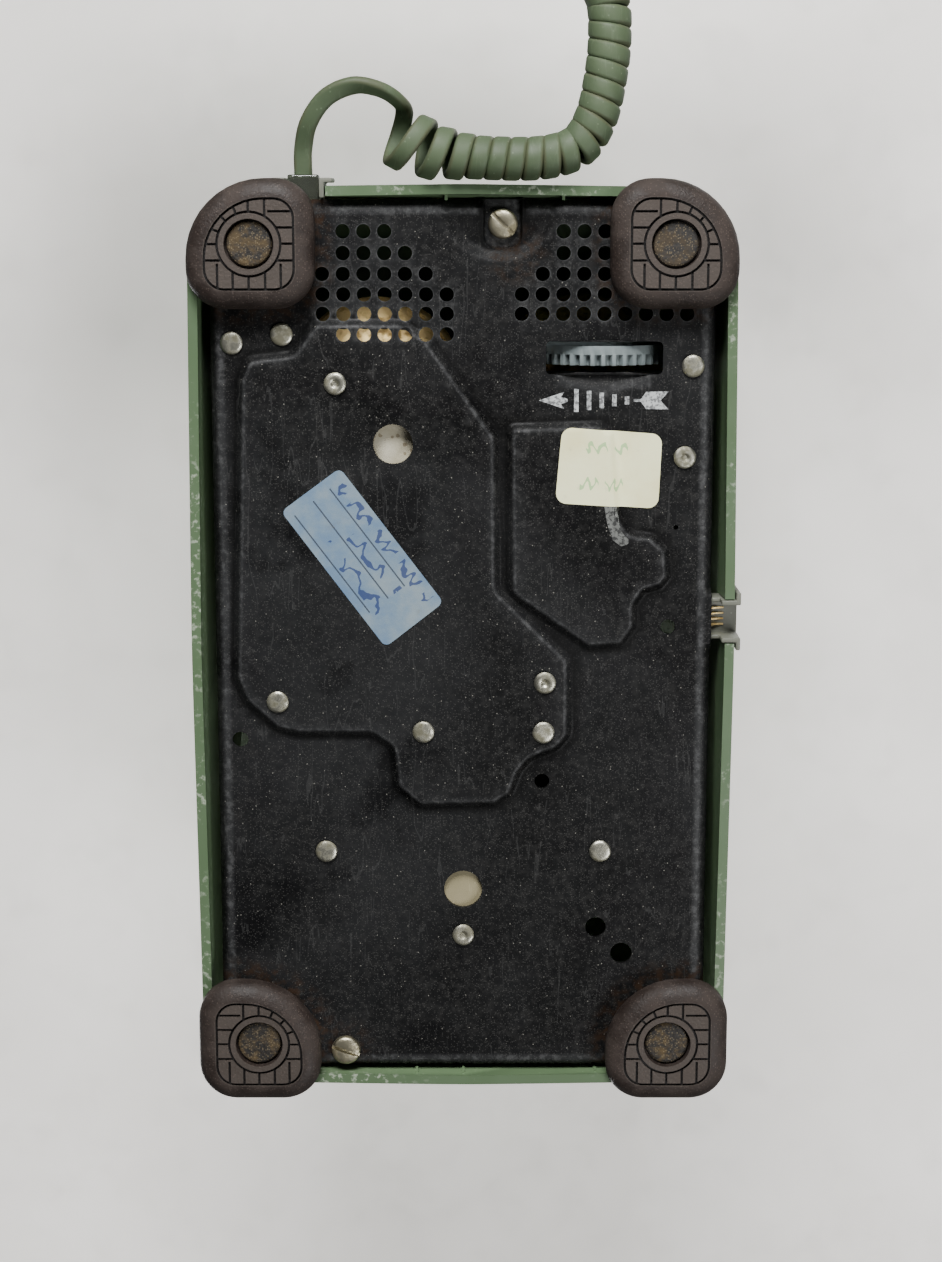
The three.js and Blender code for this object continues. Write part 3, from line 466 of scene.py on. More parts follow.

# %% [markdown]
# ## Finishes
#
# The base plate was dipped in black paint and has gathered fifty years of pale dust. Shade is painted darker
# into the corners of the pressing, and highlights are painted lighter along its crests and hole rims. Its
# mesh carries three measured values, "hollow_shade", "ridge_highlight" and "rust", which say how deep in a
# corner, how far out on an edge and how near a foot each point is. Reading those is simpler and steadier than
# guessing the corners from the shading.


# %% Black paint on pressed steel
def black_paint():
    material, tree, shader = new_material("black_paint", Metallic=0.0, Specular_IOR_Level=0.13)
    fade = effect(tree, BLOTCHES, Scale=30.0, Low=0.34, High=0.70)
    smoky = effect(tree, BLOTCHES, Scale=9.0, Low=0.42, High=0.62)
    fine = effect(tree, BLOTCHES, Scale=520.0, Low=0.42, High=0.70)
    color = mix(tree, fade, (0.0030, 0.0030, 0.0032, 1), (0.0092, 0.0095, 0.0100, 1))
    color = over(tree, color, fine, 0.5, (0.025, 0.0245, 0.0235))
    color = over(tree, color, smoky, 0.45, (0.022, 0.0225, 0.0235))
    rubbed = effect(tree, BLOTCHES, Scale=21.0, Low=0.55, High=0.64)
    color = over(tree, color, rubbed, 0.85, (0.0022, 0.0022, 0.0026))
    dust = effect(tree, SPECKS, Scale=2600.0, Size=0.40, Cover=0.34)
    big_dust = effect(tree, SPECKS, Scale=1150.0, Size=0.17, Cover=0.06)
    color = over(tree, color, dust, 0.34, (0.085, 0.083, 0.078))
    color = over(tree, color, big_dust, 0.7, (0.26, 0.25, 0.22))
    lines = effect(tree, SCRATCHES, Scale=12.0, Width=0.0035, Cover=0.56)
    color = over(tree, color, lines, 0.16, (0.09, 0.09, 0.088))
    # Painted shade: nearly black in the creases round the panels, beside the screw tab and in the screw
    # recess.
    hollow_shade = attribute(tree, "hollow_shade")
    color = over(tree, color, hollow_shade, 0.9, (0.0015, 0.0015, 0.0015))
    # Painted highlight with some worn paint: lighter on the panel crests, inside the rolled rim, on the tab,
    # at the dish edge and round the louvers.
    wear_and_highlight = maths(tree, "MULTIPLY", attribute(tree, "ridge_highlight"), ramp(tree, fine, 0.0, 1.0, 0.35, 1.0))
    color = over(tree, color, wear_and_highlight, 0.5, (0.13, 0.132, 0.135))
    patches = effect(tree, BLOTCHES, Scale=420.0, Low=0.40, High=0.66)
    rust = maths(tree, "MULTIPLY", attribute(tree, "rust"), patches)
    color = over(tree, color, rust, 0.75, (0.034, 0.0175, 0.0085))
    tree.links.new(color, shader.inputs["Base Color"])
    gloss = ramp(tree, effect(tree, BLOTCHES, Scale=90.0, Low=0.3, High=0.7), 0.0, 1.0, 0.40, 0.62)
    tree.links.new(maths(tree, "ADD", gloss, maths(tree, "MULTIPLY", rust, 0.3)), shader.inputs["Roughness"])
    grained(tree, shader, 1500.0, 0.3, 0.0002)
    return material


# %% Rubber, plastics and papers
def brown_rubber():
    material, tree, shader = new_material("brown_rubber", Specular_IOR_Level=0.35)
    fade = effect(tree, BLOTCHES, Scale=120.0, Low=0.35, High=0.7)
    color = mix(tree, fade, (0.020, 0.0135, 0.011, 1), (0.042, 0.031, 0.026, 1))
    wear_and_highlight = attribute(tree, "tread")
    color = over(tree, color, wear_and_highlight, 0.7, (0.070, 0.057, 0.048))
    dust = effect(tree, SPECKS, Scale=2200.0, Size=0.34, Cover=0.30)
    color = over(tree, color, dust, 0.4, (0.12, 0.09, 0.075))
    # Painted shade: the grooves in the tread are coloured nearly black.
    color = over(tree, color, attribute(tree, "groove"), 0.92, (0.002, 0.0015, 0.0015))
    tree.links.new(color, shader.inputs["Base Color"])
    tree.links.new(ramp(tree, fade, 0.0, 1.0, 0.55, 0.8), shader.inputs["Roughness"])
    grained(tree, shader, 1400.0, 0.5, 0.0003)
    return material


def moulded(name, dark, light, rough=0.38, scratches=0.12, grain=0.06, coat=0.0, dirt="", wear_and_highlight=""):
    """Moulded plastic: a slow change of colour, hairline scratches and a trace of dust."""
    material, tree, shader = new_material(name, Coat_Weight=coat, Coat_Roughness=0.25)
    fade = effect(tree, BLOTCHES, Scale=26.0, Low=0.3, High=0.7)
    color = mix(tree, fade, (*dark, 1), (*light, 1))
    lines = effect(tree, SCRATCHES, Scale=40.0, Width=0.006, Cover=0.56)
    pale = [min(1, 1.7 * c + 0.05) for c in light]
    color = over(tree, color, lines, scratches, pale)
    dust = effect(tree, SPECKS, Scale=900.0, Size=0.2, Cover=0.12)
    color = over(tree, color, dust, 0.35, pale)
    if dirt:
        grime = effect(tree, BLOTCHES, Scale=110.0, Low=0.30, High=0.62)
        grime = maths(tree, "MULTIPLY", maths(tree, "MULTIPLY", attribute(tree, dirt), grime), 0.42)
        color = mix(tree, grime, color, (0.075, 0.060, 0.028, 1))
    if wear_and_highlight:
        rubbed = effect(tree, BLOTCHES, Scale=620.0, Low=0.52, High=0.64)
        rubbed = maths(tree, "MULTIPLY", rubbed, effect(tree, BLOTCHES, Scale=45.0, Low=0.45, High=0.60))
        edge = tuple(0.62 * c for c in dark)
        color = over(tree, color, attribute(tree, wear_and_highlight), 0.9, edge)
        rubbed = maths(tree, "MULTIPLY", attribute(tree, wear_and_highlight), rubbed)
        color = over(tree, color, rubbed, 0.45, (0.62, 0.68, 0.55))
    tree.links.new(color, shader.inputs["Base Color"])
    wear = effect(tree, BLOTCHES, Scale=70.0, Low=0.3, High=0.7)
    tree.links.new(ramp(tree, wear, 0.0, 1.0, rough, rough + 0.14), shader.inputs["Roughness"])
    grained(tree, shader, 1000.0, grain, 0.0002)
    return material


def speckled_board():
    material, tree, shader = new_material("speckled_board", Roughness=0.6)
    fade = effect(tree, BLOTCHES, Scale=80.0, Low=0.35, High=0.7)
    color = mix(tree, fade, (0.50, 0.45, 0.31, 1), (0.68, 0.64, 0.50, 1))
    specks = effect(tree, SPECKS, Scale=650.0, Size=0.36, Cover=0.35)
    color = over(tree, color, specks, 0.6, (0.20, 0.14, 0.07))
    tree.links.new(color, shader.inputs["Base Color"])
    grained(tree, shader, 1200.0, 0.3, 0.0002)
    return material


def metal(name, clean, tarnish, rough=0.32, cover=(0.45, 0.65), rust=0.0):
    """Bare or plated metal with patches of tarnish, and rust where asked for."""
    material, tree, shader = new_material(name, Metallic=1.0)
    patches = effect(tree, BLOTCHES, Scale=260.0, Low=cover[0], High=cover[1])
    color = mix(tree, patches, (*clean, 1), (*tarnish, 1))
    red = maths(tree, "MULTIPLY", effect(tree, BLOTCHES, Scale=430.0, Low=0.42, High=0.6), rust)
    color = mix(tree, red, color, (0.17, 0.075, 0.035, 1))
    tree.links.new(color, shader.inputs["Base Color"])
    tree.links.new(ramp(tree, patches, 0.0, 1.0, rough, min(1.0, rough + 0.3)), shader.inputs["Roughness"])
    bare = maths(tree, "SUBTRACT", 1.0, maths(tree, "MULTIPLY", red, 0.85))
    tree.links.new(bare, shader.inputs["Metallic"])
    grained(tree, shader, 1500.0, 0.25, 0.0002)
    return material


def clear_plastic(name, tint):
    """Clear moulded plastic. Most of its weight is transmission, and fine scratches catch the light."""
    material, tree, shader = new_material(
        name,
        Base_Color=(*tint, 1),
        Transmission_Weight=0.85,
        IOR=1.49,
        Metallic=0.0,
    )
    lines = effect(tree, SCRATCHES, Scale=60.0, Width=0.01, Cover=0.5)
    tree.links.new(ramp(tree, lines, 0.0, 1.0, 0.08, 0.16), shader.inputs["Roughness"])
    grained(tree, shader, 500.0, 0.04, 0.0002)
    return material


def rusty_disc():
    """Old steel in the foot recess, dusted with sand and rust, and different in every foot."""
    material, tree, shader = new_material("rusty_steel", Metallic=0.3)
    sand = effect(tree, BLOTCHES, Scale=330.0, Low=0.42, High=0.64)
    place_to_place = effect(tree, BLOTCHES, Scale=9.0, Low=0.36, High=0.62)
    color = mix(tree, sand, (0.020, 0.017, 0.014, 1), (0.105, 0.072, 0.032, 1))
    color = over(tree, color, place_to_place, 0.6, (0.030, 0.028, 0.027))
    grains = effect(tree, SPECKS, Scale=2400.0, Size=0.42, Cover=0.4)
    color = over(tree, color, grains, 0.45, (0.24, 0.19, 0.11))
    tree.links.new(color, shader.inputs["Base Color"])
    tree.links.new(ramp(tree, sand, 0.0, 1.0, 0.6, 0.85), shader.inputs["Roughness"])
    grained(tree, shader, 1300.0, 0.7, 0.0003)
    return material


PAINT = black_paint()
RUBBER = brown_rubber()
DARK_GREEN, MOSS_GREEN = (0.130, 0.205, 0.105), (0.165, 0.250, 0.130)
GREEN = moulded("moss_green_plastic", DARK_GREEN, MOSS_GREEN, rough=0.34, coat=0.15, wear_and_highlight="rim")
DARK_VINYL, GREEN_VINYL = (0.050, 0.076, 0.036), (0.078, 0.110, 0.056)
CORD_GREEN = moulded("moss_green_jacket", DARK_VINYL, GREEN_VINYL, rough=0.58, grain=0.15, dirt="edge")
GREY = moulded("light_grey_plastic", (0.115, 0.12, 0.095), (0.17, 0.175, 0.14), rough=0.5, scratches=0.04)
BLUE_GREY, DUSTY_GREY = (0.13, 0.16, 0.165), (0.20, 0.235, 0.235)
WHEEL_GREY = moulded("dusty_blue_grey_plastic", BLUE_GREY, DUSTY_GREY, rough=0.55, scratches=0.04, grain=0.2)
KHAKI = moulded("khaki_plastic", (0.20, 0.175, 0.09), (0.32, 0.28, 0.17), rough=0.5)
IVORY = moulded("ivory_ink", (0.70, 0.68, 0.58), (0.80, 0.78, 0.70), rough=0.5, scratches=0.1)
BOARD = speckled_board()
CLEAR = clear_plastic("clear_plastic", (0.86, 0.9, 0.86))
GRIMY_CLEAR = clear_plastic("grimy_clear_plastic", (0.22, 0.24, 0.19))
ZINC = metal("bright_zinc", (0.52, 0.51, 0.43), (0.24, 0.23, 0.17), rough=0.38, cover=(0.38, 0.6))
STEEL = metal("dull_zinc_steel", (0.56, 0.56, 0.53), (0.34, 0.33, 0.30), rough=0.4)
BRASS = metal("spun_brass", (0.95, 0.72, 0.34), (0.62, 0.44, 0.18), rough=0.5)
SCREW_BRASS = metal("tarnished_brass", (0.52, 0.48, 0.35), (0.26, 0.23, 0.15), rough=0.38)
RUSTY = rusty_disc()
WINDING = moulded("varnished_tape", (0.20, 0.06, 0.03), (0.30, 0.11, 0.05), rough=0.4)
print("finishes:", len(bpy.data.materials))

# %% [markdown]
# ## Handset cord
#
# The cord is a flat vinyl ribbon. It leaves the rear jack, makes one lazy arc, drops through a few loose
# turns and then lies in a tight coil as far as the handset. A real one is wound on a rod and heated, so
# the mesh is wound in the same way: a radius and a pitch are set along one middle line, and the ribbon
# always shows its flat face outwards.

# %% The middle line of the cord
RIBBON_WIDTH = 4.4
RIBBON_THICK = 2.4
TURN_RADIUS = 4.0
TURN_PITCH = 4.3
LOOSE_RADIUS = 6.4
LOOSE_PITCH = 7.4
LEAD = [
    (38.6, 115.4, 12.9),
    (38.5, 122, 11.8),
    (36.8, 128.5, 8.6),
    (32.4, 134.2, 6.6),
    (25.8, 136.9, 5.6),
    (19.8, 136.0, 5.8),
    (15.9, 133.8, 7.2),
]
COIL = [
    (16.6, 125.9, 5.3),
    (11.0, 123.0, 5.3),
    (5, 121.1, 5.3),
    (-8, 119.9, 5.3),
    (-20, 120.2, 5.3),
    (-27.5, 122.8, 5.3),
    (-31.6, 129, 5.3),
    (-33.8, 138, 5.3),
    (-34.8, 148, 5.3),
    (-34, 157, 5.3),
    (-29.5, 163.5, 5.3),
    (-21, 166.5, 5.3),
    (-8, 166.6, 5.3),
    (8, 164.8, 5.3),
    (28, 162.6, 5.3),
    (52, 162, 5.3),
    (80, 162, 5.3),
    (104, 162.2, 5.3),
    (111, 162.7, 5.2),
]
TAIL = [
    (118.5, 164.2, 3.6),
    (125.5, 168, 3),
    (130, 174.6, 3.4),
    (131.4, 182, 8),
    (129, 189.5, 18),
    (123.5, 195, 28),
    (118, 196, 31.4),
]


def curve_through(points, step):
    """A smooth curve through the points, as points a step apart."""
    p = np.asarray(points, float)
    p = np.vstack([2 * p[0] - p[1], p, 2 * p[-1] - p[-2]])
    gaps = np.linalg.norm(np.diff(p, axis=0), axis=1)
    slopes = (p[2:] - p[:-2]) / (gaps[1:] + gaps[:-1])[:, None]
    dense = []
    for i in range(len(points) - 1):
        a, b, length = p[i + 1], p[i + 2], gaps[i + 1]
        t = np.linspace(0, 1, 40, endpoint=False)[:, None]
        away = (2 * t**3 - 3 * t**2 + 1) * a + (t**3 - 2 * t**2 + t) * length * slopes[i]
        dense.append(away + (3 * t**2 - 2 * t**3) * b + (t**3 - t**2) * length * slopes[i + 1])
    dense = np.vstack([*dense, p[-2]])
    along = run_along(dense)
    wanted = np.linspace(0, along[-1], int(along[-1] / step) + 1)
    return np.column_stack([np.interp(wanted, along, dense[:, k]) for k in range(3)])


def run_along(line):
    """How far each point lies along a line, from its start."""
    return np.concatenate([[0], np.cumsum(np.linalg.norm(np.diff(line, axis=0), axis=1))])


def directions(line):
    ways = np.gradient(line, axis=0)
    return ways / np.linalg.norm(ways, axis=1)[:, None]


STEP = 0.12
axis = curve_through(COIL, STEP)
along = np.arange(len(axis)) * STEP
tightness = smooth_step((along - 3) / 20)
radius = LOOSE_RADIUS + (TURN_RADIUS - LOOSE_RADIUS) * tightness
pitch = LOOSE_PITCH + (TURN_PITCH - LOOSE_PITCH) * tightness
axis[:, 2] = radius + RIBBON_THICK / 2 + 0.06
turns = 0.38 + np.cumsum(STEP / pitch) * 2 * math.pi
ways = directions(axis)
sideways = np.cross(ways, [0.0, 0.0, 1.0])
outward = np.cos(turns)[:, None] * sideways + np.sin(turns)[:, None] * np.array([0.0, 0.0, 1.0])
coil = axis + outward * radius[:, None]


# %% The ribbon
def ribbon_section():
    w, t = RIBBON_WIDTH / 2, RIBBON_THICK / 2
    return rounded([(w, -t, 0.95), (w, t, 0.95), (-w, t, 0.95), (-w, -t, 0.95)], 32)


def evenly(line, step, *others):
    """The same line with its points a step apart, and the other values at those points."""
    run = run_along(line)
    wanted = np.linspace(0, run[-1], int(run[-1] / step) + 1)
    spread = []
    for values in (line, *others):
        spread.append(np.column_stack([np.interp(wanted, run, column) for column in values.T]))
    return spread


def turning(first, last, count):
    """Directions that turn from the first to the last."""
    share = smooth_step(np.linspace(0, 1, count))[:, None]
    return np.asarray(first) * (1 - share) + np.asarray(last) * share


def make_cord():
    lead = curve_through([*LEAD, tuple(coil[0]), tuple(coil[30])], STEP)
    lead = lead[: np.argmin(np.linalg.norm(lead - coil[0], axis=1))]
    tail = curve_through([tuple(coil[-30]), tuple(coil[-1]), *TAIL], STEP)
    tail = tail[np.argmin(np.linalg.norm(tail - coil[-1], axis=1)) + 1 :]
    line = np.vstack([lead, coil, tail])
    faces_out = [turning((0.0, 0.0, 1.0), outward[0], len(lead)), outward]
    faces_out.append(turning(outward[-1], (0.0, 0.0, 1.0), len(tail)))
    line, face = evenly(line, 0.85, np.vstack(faces_out))
    way = directions(line)
    face -= way * (face * way).sum(1)[:, None]
    face /= np.linalg.norm(face, axis=1)[:, None]
    across = np.cross(way, face)
    section = np.array([tuple(p) for p in ribbon_section()])
    wide, thick = section[:, 0][None, :, None], section[:, 1][None, :, None]
    rings = line[:, None] + wide * across[:, None] + thick * face[:, None]
    faces = tube_faces(len(line), len(section))
    cord = new_piece("handset_cord", rings.reshape(-1, 3), faces, sharp=80)
    edge = np.tile((np.abs(section[:, 0]) > RIBBON_WIDTH / 2 - 0.6).astype(np.float32), len(line))
    mark(cord, "edge", edge)
    return cord, line


def mark(piece, name, values):
    """Writes one measured value per vertex, for a material to read."""
    made = piece.data.attributes.new(name, "FLOAT", "POINT")
    made.data.foreach_set("value", np.asarray(values, np.float32))


cord, cord_line = make_cord()
cord.data.materials.append(CORD_GREEN)
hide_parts("cord_lead", "cord_coil", "cord_tail")
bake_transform(cord)

# %% [markdown]
# ## Base plate
#
# The plate is one pressing in 1.2 mm steel. Two panels stand proud of it towards the floor, the rear edge
# dips round the housing screw, and the rim is rolled up into a flange. A pressing has one height at every
# place, so the mesh is a sheet of triangles with that height, thickened afterwards. Extra rows of points
# follow each bend, which keeps the bends crisp without a heavy mesh everywhere.

# %% Base plate drawing
SHEET = 1.2
PLATE_Z = 9.0
PANEL_DROP = 1.7
PANEL_SLOPE = 2.3
ROLL = 3.2
FLANGE_TOP = 14.0
PLATE_OUTLINE = rounded([(61.9, -110.3, 17), (61.9, 110.3, 17), (-61.9, 110.3, 17), (-61.9, -110.3, 17)], 6)
PANEL_A = [
    (55.1, 67, 3),
    (52.8, 72.6, 3),
    (41.8, 73.8, 3),
    (36.3, 81.5, 3),
    (15, 81.5, 4),
    (8.2, 77.4, 4),
    (-8.8, 53.4, 4),
    (-9.1, 15.3, 4),
    (-27.1, -2.3, 4),
    (-27.2, -22.2, 3),
    (-24, -26, 3),
    (-17.4, -28.6, 3),
    (-14.7, -31.7, 2),
    (-12.4, -37.8, 3),
    (-8.1, -40.5, 3),
    (11.3, -40.9, 3),
    (17.1, -35.8, 3),
    (18.3, -25.5, 3),
    (23.2, -22.2, 3),
    (41.4, -22.2, 3),
    (47.1, -20.7, 3),
    (54.7, -13.8, 3),
    (57.3, -7.4, 3),
]
PANEL_B = [
    (-10.8, 56.1, 2),
    (-33.8, 56.8, 2),
    (-37.3, 54.4, 2),
    (-38.8, 35.2, 3),
    (-41.3, 29.8, 3),
    (-47.1, 29, 3),
    (-51, 25.5, 3),
    (-51.6, 18.1, 1),
    (-49.4, 15.3, 1),
    (-45.2, 14.1, 2),
    (-43.2, 10.8, 2),
    (-43.3, 5.3, 2),
    (-39.9, 0.5, 3),
    (-31.1, -0.3, 3),
    (-11.2, 13.6, 4),
]
PANELS = [rounded(PANEL_A, 12), rounded(PANEL_B, 12)]
LOUVER_R = 1.75
LOUVER_PITCH = 5.03
LOUVER_ROWS = [
    (102.7, 19, 29.1),
    (97.5, 14, 29.1),
    (92.5, 9, 34.2),
    (87.6, 3.9, 34.1),
    (82.9, 3.9, 34.1),
    (78, 3.9, 29.1),
    (102.7, -34.5, -24.4),
    (97.5, -34.5, -24.4),
    (92.5, -34.5, -19.4),
    (87.6, -34.5, -14.4),
    (82.9, -54.6, -14.4),
]
ROUND_HOLES = [
    (56, -23.3, 2),
    (-19.9, -34.1, 1.9),
    (-51.1, 5.5, 1.9),
    (-33.8, -72.5, 2.65),
    (-40.4, -79.4, 2.75),
    (17.1, 51.3, 4.9),
    (0, -62.4, 4.85),
    (-52.7, 30.5, 0.6),
    (-9.7, 104.5, 2.2),
    (30.2, -105.2, 2.6),
]
WHEEL_SLOT = rounded([(-20.3, 68.2, 1.2), (-20.3, 76.2, 1.2), (-48.9, 76.2, 1.2), (-48.9, 68.2, 1.2)], 15)
WHEEL_DISH = [Vector((-34.6 + 12.8 * p.x, 71 + 6.6 * p.y)) for p in circle(0, 0, 1, 48)]
SCREW_ZONE = (-9, 110.3, 15.2)
SCREW_TAB = rounded([(-4.9, 98.3, 3.4), (-4.9, 125, 0), (-14.5, 125, 0), (-14.5, 98.3, 3.4)], 15)
JACK_GAPS = [
    rounded([(32.7, 104, 0), (44.5, 104, 0), (44.5, 125, 0), (32.7, 125, 0)]),
    rounded([(-75, 1.4, 0), (-56, 1.4, 0), (-56, 13.2, 0), (-75, 13.2, 0)]),
]
FEET = {name: middle(f"foot_{name}") for name in ("rear_left", "rear_right", "front_left", "front_right")}
ROUND_SIDE = {"rear_left": -1, "rear_right": 1, "front_left": 1, "front_right": -1}
louvers = []
for row_y, first, last in LOUVER_ROWS:
    count = round((last - first) / LOUVER_PITCH) + 1
    louvers += [(first + k * LOUVER_PITCH, row_y, LOUVER_R) for k in range(count)]
print(len(louvers), "louver holes")


# %% Base plate mesh
def foot_outline(name, inset=0.0, step=9):
    """The tread is a square with three small corners and one large one, at the rear on the round side."""
    half = 15.5 - inset
    corners = []
    for x, y in ((1, -1), (1, 1), (-1, 1), (-1, -1)):
        radius = 19 if (x, y) == (ROUND_SIDE[name], 1) else 9.5
        corners.append((FEET[name].x + x * half, FEET[name].y + y * half, radius - inset))
    return rounded(corners, step)


def plate_height(points):
    """The height of the pressing at each point, and how far its edge stays open there."""
    x, y = points[:, 0], points[:, 1]
    panel = np.maximum(*(loop_distance(points, loop) for loop in PANELS))
    height = PLATE_Z - PANEL_DROP * smooth_step((panel + 0.4) / PANEL_SLOPE)
    height += 0.9 * smooth_step(loop_distance(points, WHEEL_DISH) / 2.2)
    zone = SCREW_ZONE[2] - np.hypot(x - SCREW_ZONE[0], y - SCREW_ZONE[1])
    height += 1.5 * smooth_step(zone / 3.2)
    tab = loop_distance(points, SCREW_TAB)
    height += 1.5 * smooth_step(tab / 0.5)
    gap = np.maximum(*(loop_distance(points, loop) for loop in JACK_GAPS))
    open_edge = np.maximum(smooth_step((gap + 1.6) / 1.6), smooth_step((tab + 0.8) / 0.8))
    edge = np.clip(ROLL - loop_distance(points, PLATE_OUTLINE), 0, ROLL)
    return height + (ROLL - np.sqrt(ROLL**2 - edge**2)) * (1 - open_edge), open_edge


def offset_points(loop, distances, step):
    """Rows of points beside an outline, without those that a tight corner pushes out of place."""
    base = resampled(loop, step)
    p = np.array([tuple(v) for v in base])
    way = np.roll(p, -1, axis=0) - np.roll(p, 1, axis=0)
    way /= np.linalg.norm(way, axis=1)[:, None]
    inward = np.column_stack([-way[:, 1], way[:, 0]])
    if loop_distance(p[:1] + inward[:1] * 0.05, loop)[0] < 0:
        inward = -inward
    rows = []
    for distance in distances:
        row = p + inward * distance
        rows.append(row[np.abs(loop_distance(row, loop) - distance) < 0.12])
    return np.vstack(rows)


def plate_points():
    extra = [offset_points(loop, np.arange(-0.8, 2.4, 0.38), 1.2) for loop in PANELS]
    extra.append(offset_points(PLATE_OUTLINE, [0.15, 0.6, 1.1, 1.7, 2.4, 3.2, 3.9], 2.0))
    extra.append(offset_points(WHEEL_DISH, [0.0, 0.5, 1.0, 1.6, 2.2], 1.2))
    extra.append(offset_points(WHEEL_SLOT, [-0.8], 1.5))
    extra.append(offset_points(circle(*SCREW_ZONE, 80), np.arange(-0.4, 3.8, 0.5), 1.2))
    extra.append(offset_points(SCREW_TAB, [-0.8, -0.3, 0.0, 0.15, 0.35, 0.5], 0.8))
    for loop in JACK_GAPS:
        extra.append(offset_points(loop, [-1.6, -1.0, -0.5, 0.0], 0.8))
    for name in FEET:
        extra.append(offset_points(foot_outline(name), [0.0, -1.5, -3.0, -5.0], 2.5))
    grid = np.array([(x, y) for x in np.arange(-60.5, 61, 2.75) for y in np.arange(-109, 109.5, 2.75)])
    far = np.abs(loop_distance(grid, PANELS[0]) - 0.8) > 2.2
    far &= np.abs(loop_distance(grid, PANELS[1]) - 0.8) > 2.2
    extra.append(grid[far])
    return np.vstack(extra)


def make_base_plate():
    holes = [circle(x, y, r, 20) for x, y, r in louvers] + [circle(x, y, r, 32) for x, y, r in ROUND_HOLES]
    holes += [circle(foot.x, foot.y, 2.4, 16) for foot in FEET.values()] + [WHEEL_SLOT]
    collars = [offset_points(loop, [-0.3], 0.6) for loop in holes]
    outline = resampled(PLATE_OUTLINE, 1.6)
    loops = [outline, *holes]
    coords, edges = [], []
    for loop in loops:
        start = len(coords)
        coords += [tuple(p) for p in loop]
        edges += [(start + k, start + (k + 1) % len(loop)) for k in range(len(loop))]
    free = np.vstack([plate_points(), *collars])
    keep = loop_distance(free, outline) > 0.1
    for loop in holes:
        keep &= loop_distance(free, loop) < -0.12
    coords += [tuple(p) for p in free[keep]]
    flat, _, faces, *_ = geometry.delaunay_2d_cdt([Vector(p) for p in coords], edges, [], 0, 1e-4)
    points = np.array([tuple(p) for p in flat])
    centres = np.array([points[list(face)].mean(0) for face in faces])
    solid = loop_distance(centres, outline) > 0
    for x, y, r in [*louvers, *ROUND_HOLES]:
        solid &= np.hypot(centres[:, 0] - x, centres[:, 1] - y) > r - 0.01
    for foot in FEET.values():
        solid &= np.hypot(centres[:, 0] - foot.x, centres[:, 1] - foot.y) > 2.38
    solid &= loop_distance(centres, WHEEL_SLOT) < 0
    height, open_edge = plate_height(points)
    verts = np.column_stack([points, height])
    kept = [tuple(face) for face, good in zip(faces, solid) if good]
    return add_flange(verts, kept, points, outline, open_edge)


def add_flange(verts, faces, points, outline, open_edge):
    """Runs the rolled rim up to the top of the flange, and leaves the jacks and the tab open."""
    nearest = [int(np.argmin(np.hypot(points[:, 0] - p.x, points[:, 1] - p.y))) for p in outline]
    tops = {}
    verts = [tuple(v) for v in verts]
    for i in nearest:
        verts.append((*points[i], FLANGE_TOP))
        tops[i] = len(verts) - 1
    for a, b in zip(nearest, nearest[1:] + nearest[:1]):
        if open_edge[a] < 0.5 and open_edge[b] < 0.5:
            faces.append((a, b, tops[b], tops[a]))
    return verts, faces


plate_verts, plate_faces = make_base_plate()
used = sorted({i for face in plate_faces for i in face})
renumbered = {old: new for new, old in enumerate(used)}
plate = new_piece(
    "base_plate_pressing",
    [plate_verts[i] for i in used],
    [tuple(renumbered[i] for i in face) for face in plate_faces],
    sharp=50,
)


def thickened(sheet, thickness, sharp=35):
    """Faces an open sheet towards the floor and gives it its thickness on the other side."""
    if sum(face.normal.z * face.area for face in sheet.data.polygons) > 0:
        sheet.data.flip_normals()
    thicken = sheet.modifiers.new("sheet", "SOLIDIFY")
    thicken.thickness = thickness * MM
    thicken.offset = -1
    apply_modifiers(sheet)
    shade(sheet, sharp)
    return sheet


thickened(plate, SHEET, 50)


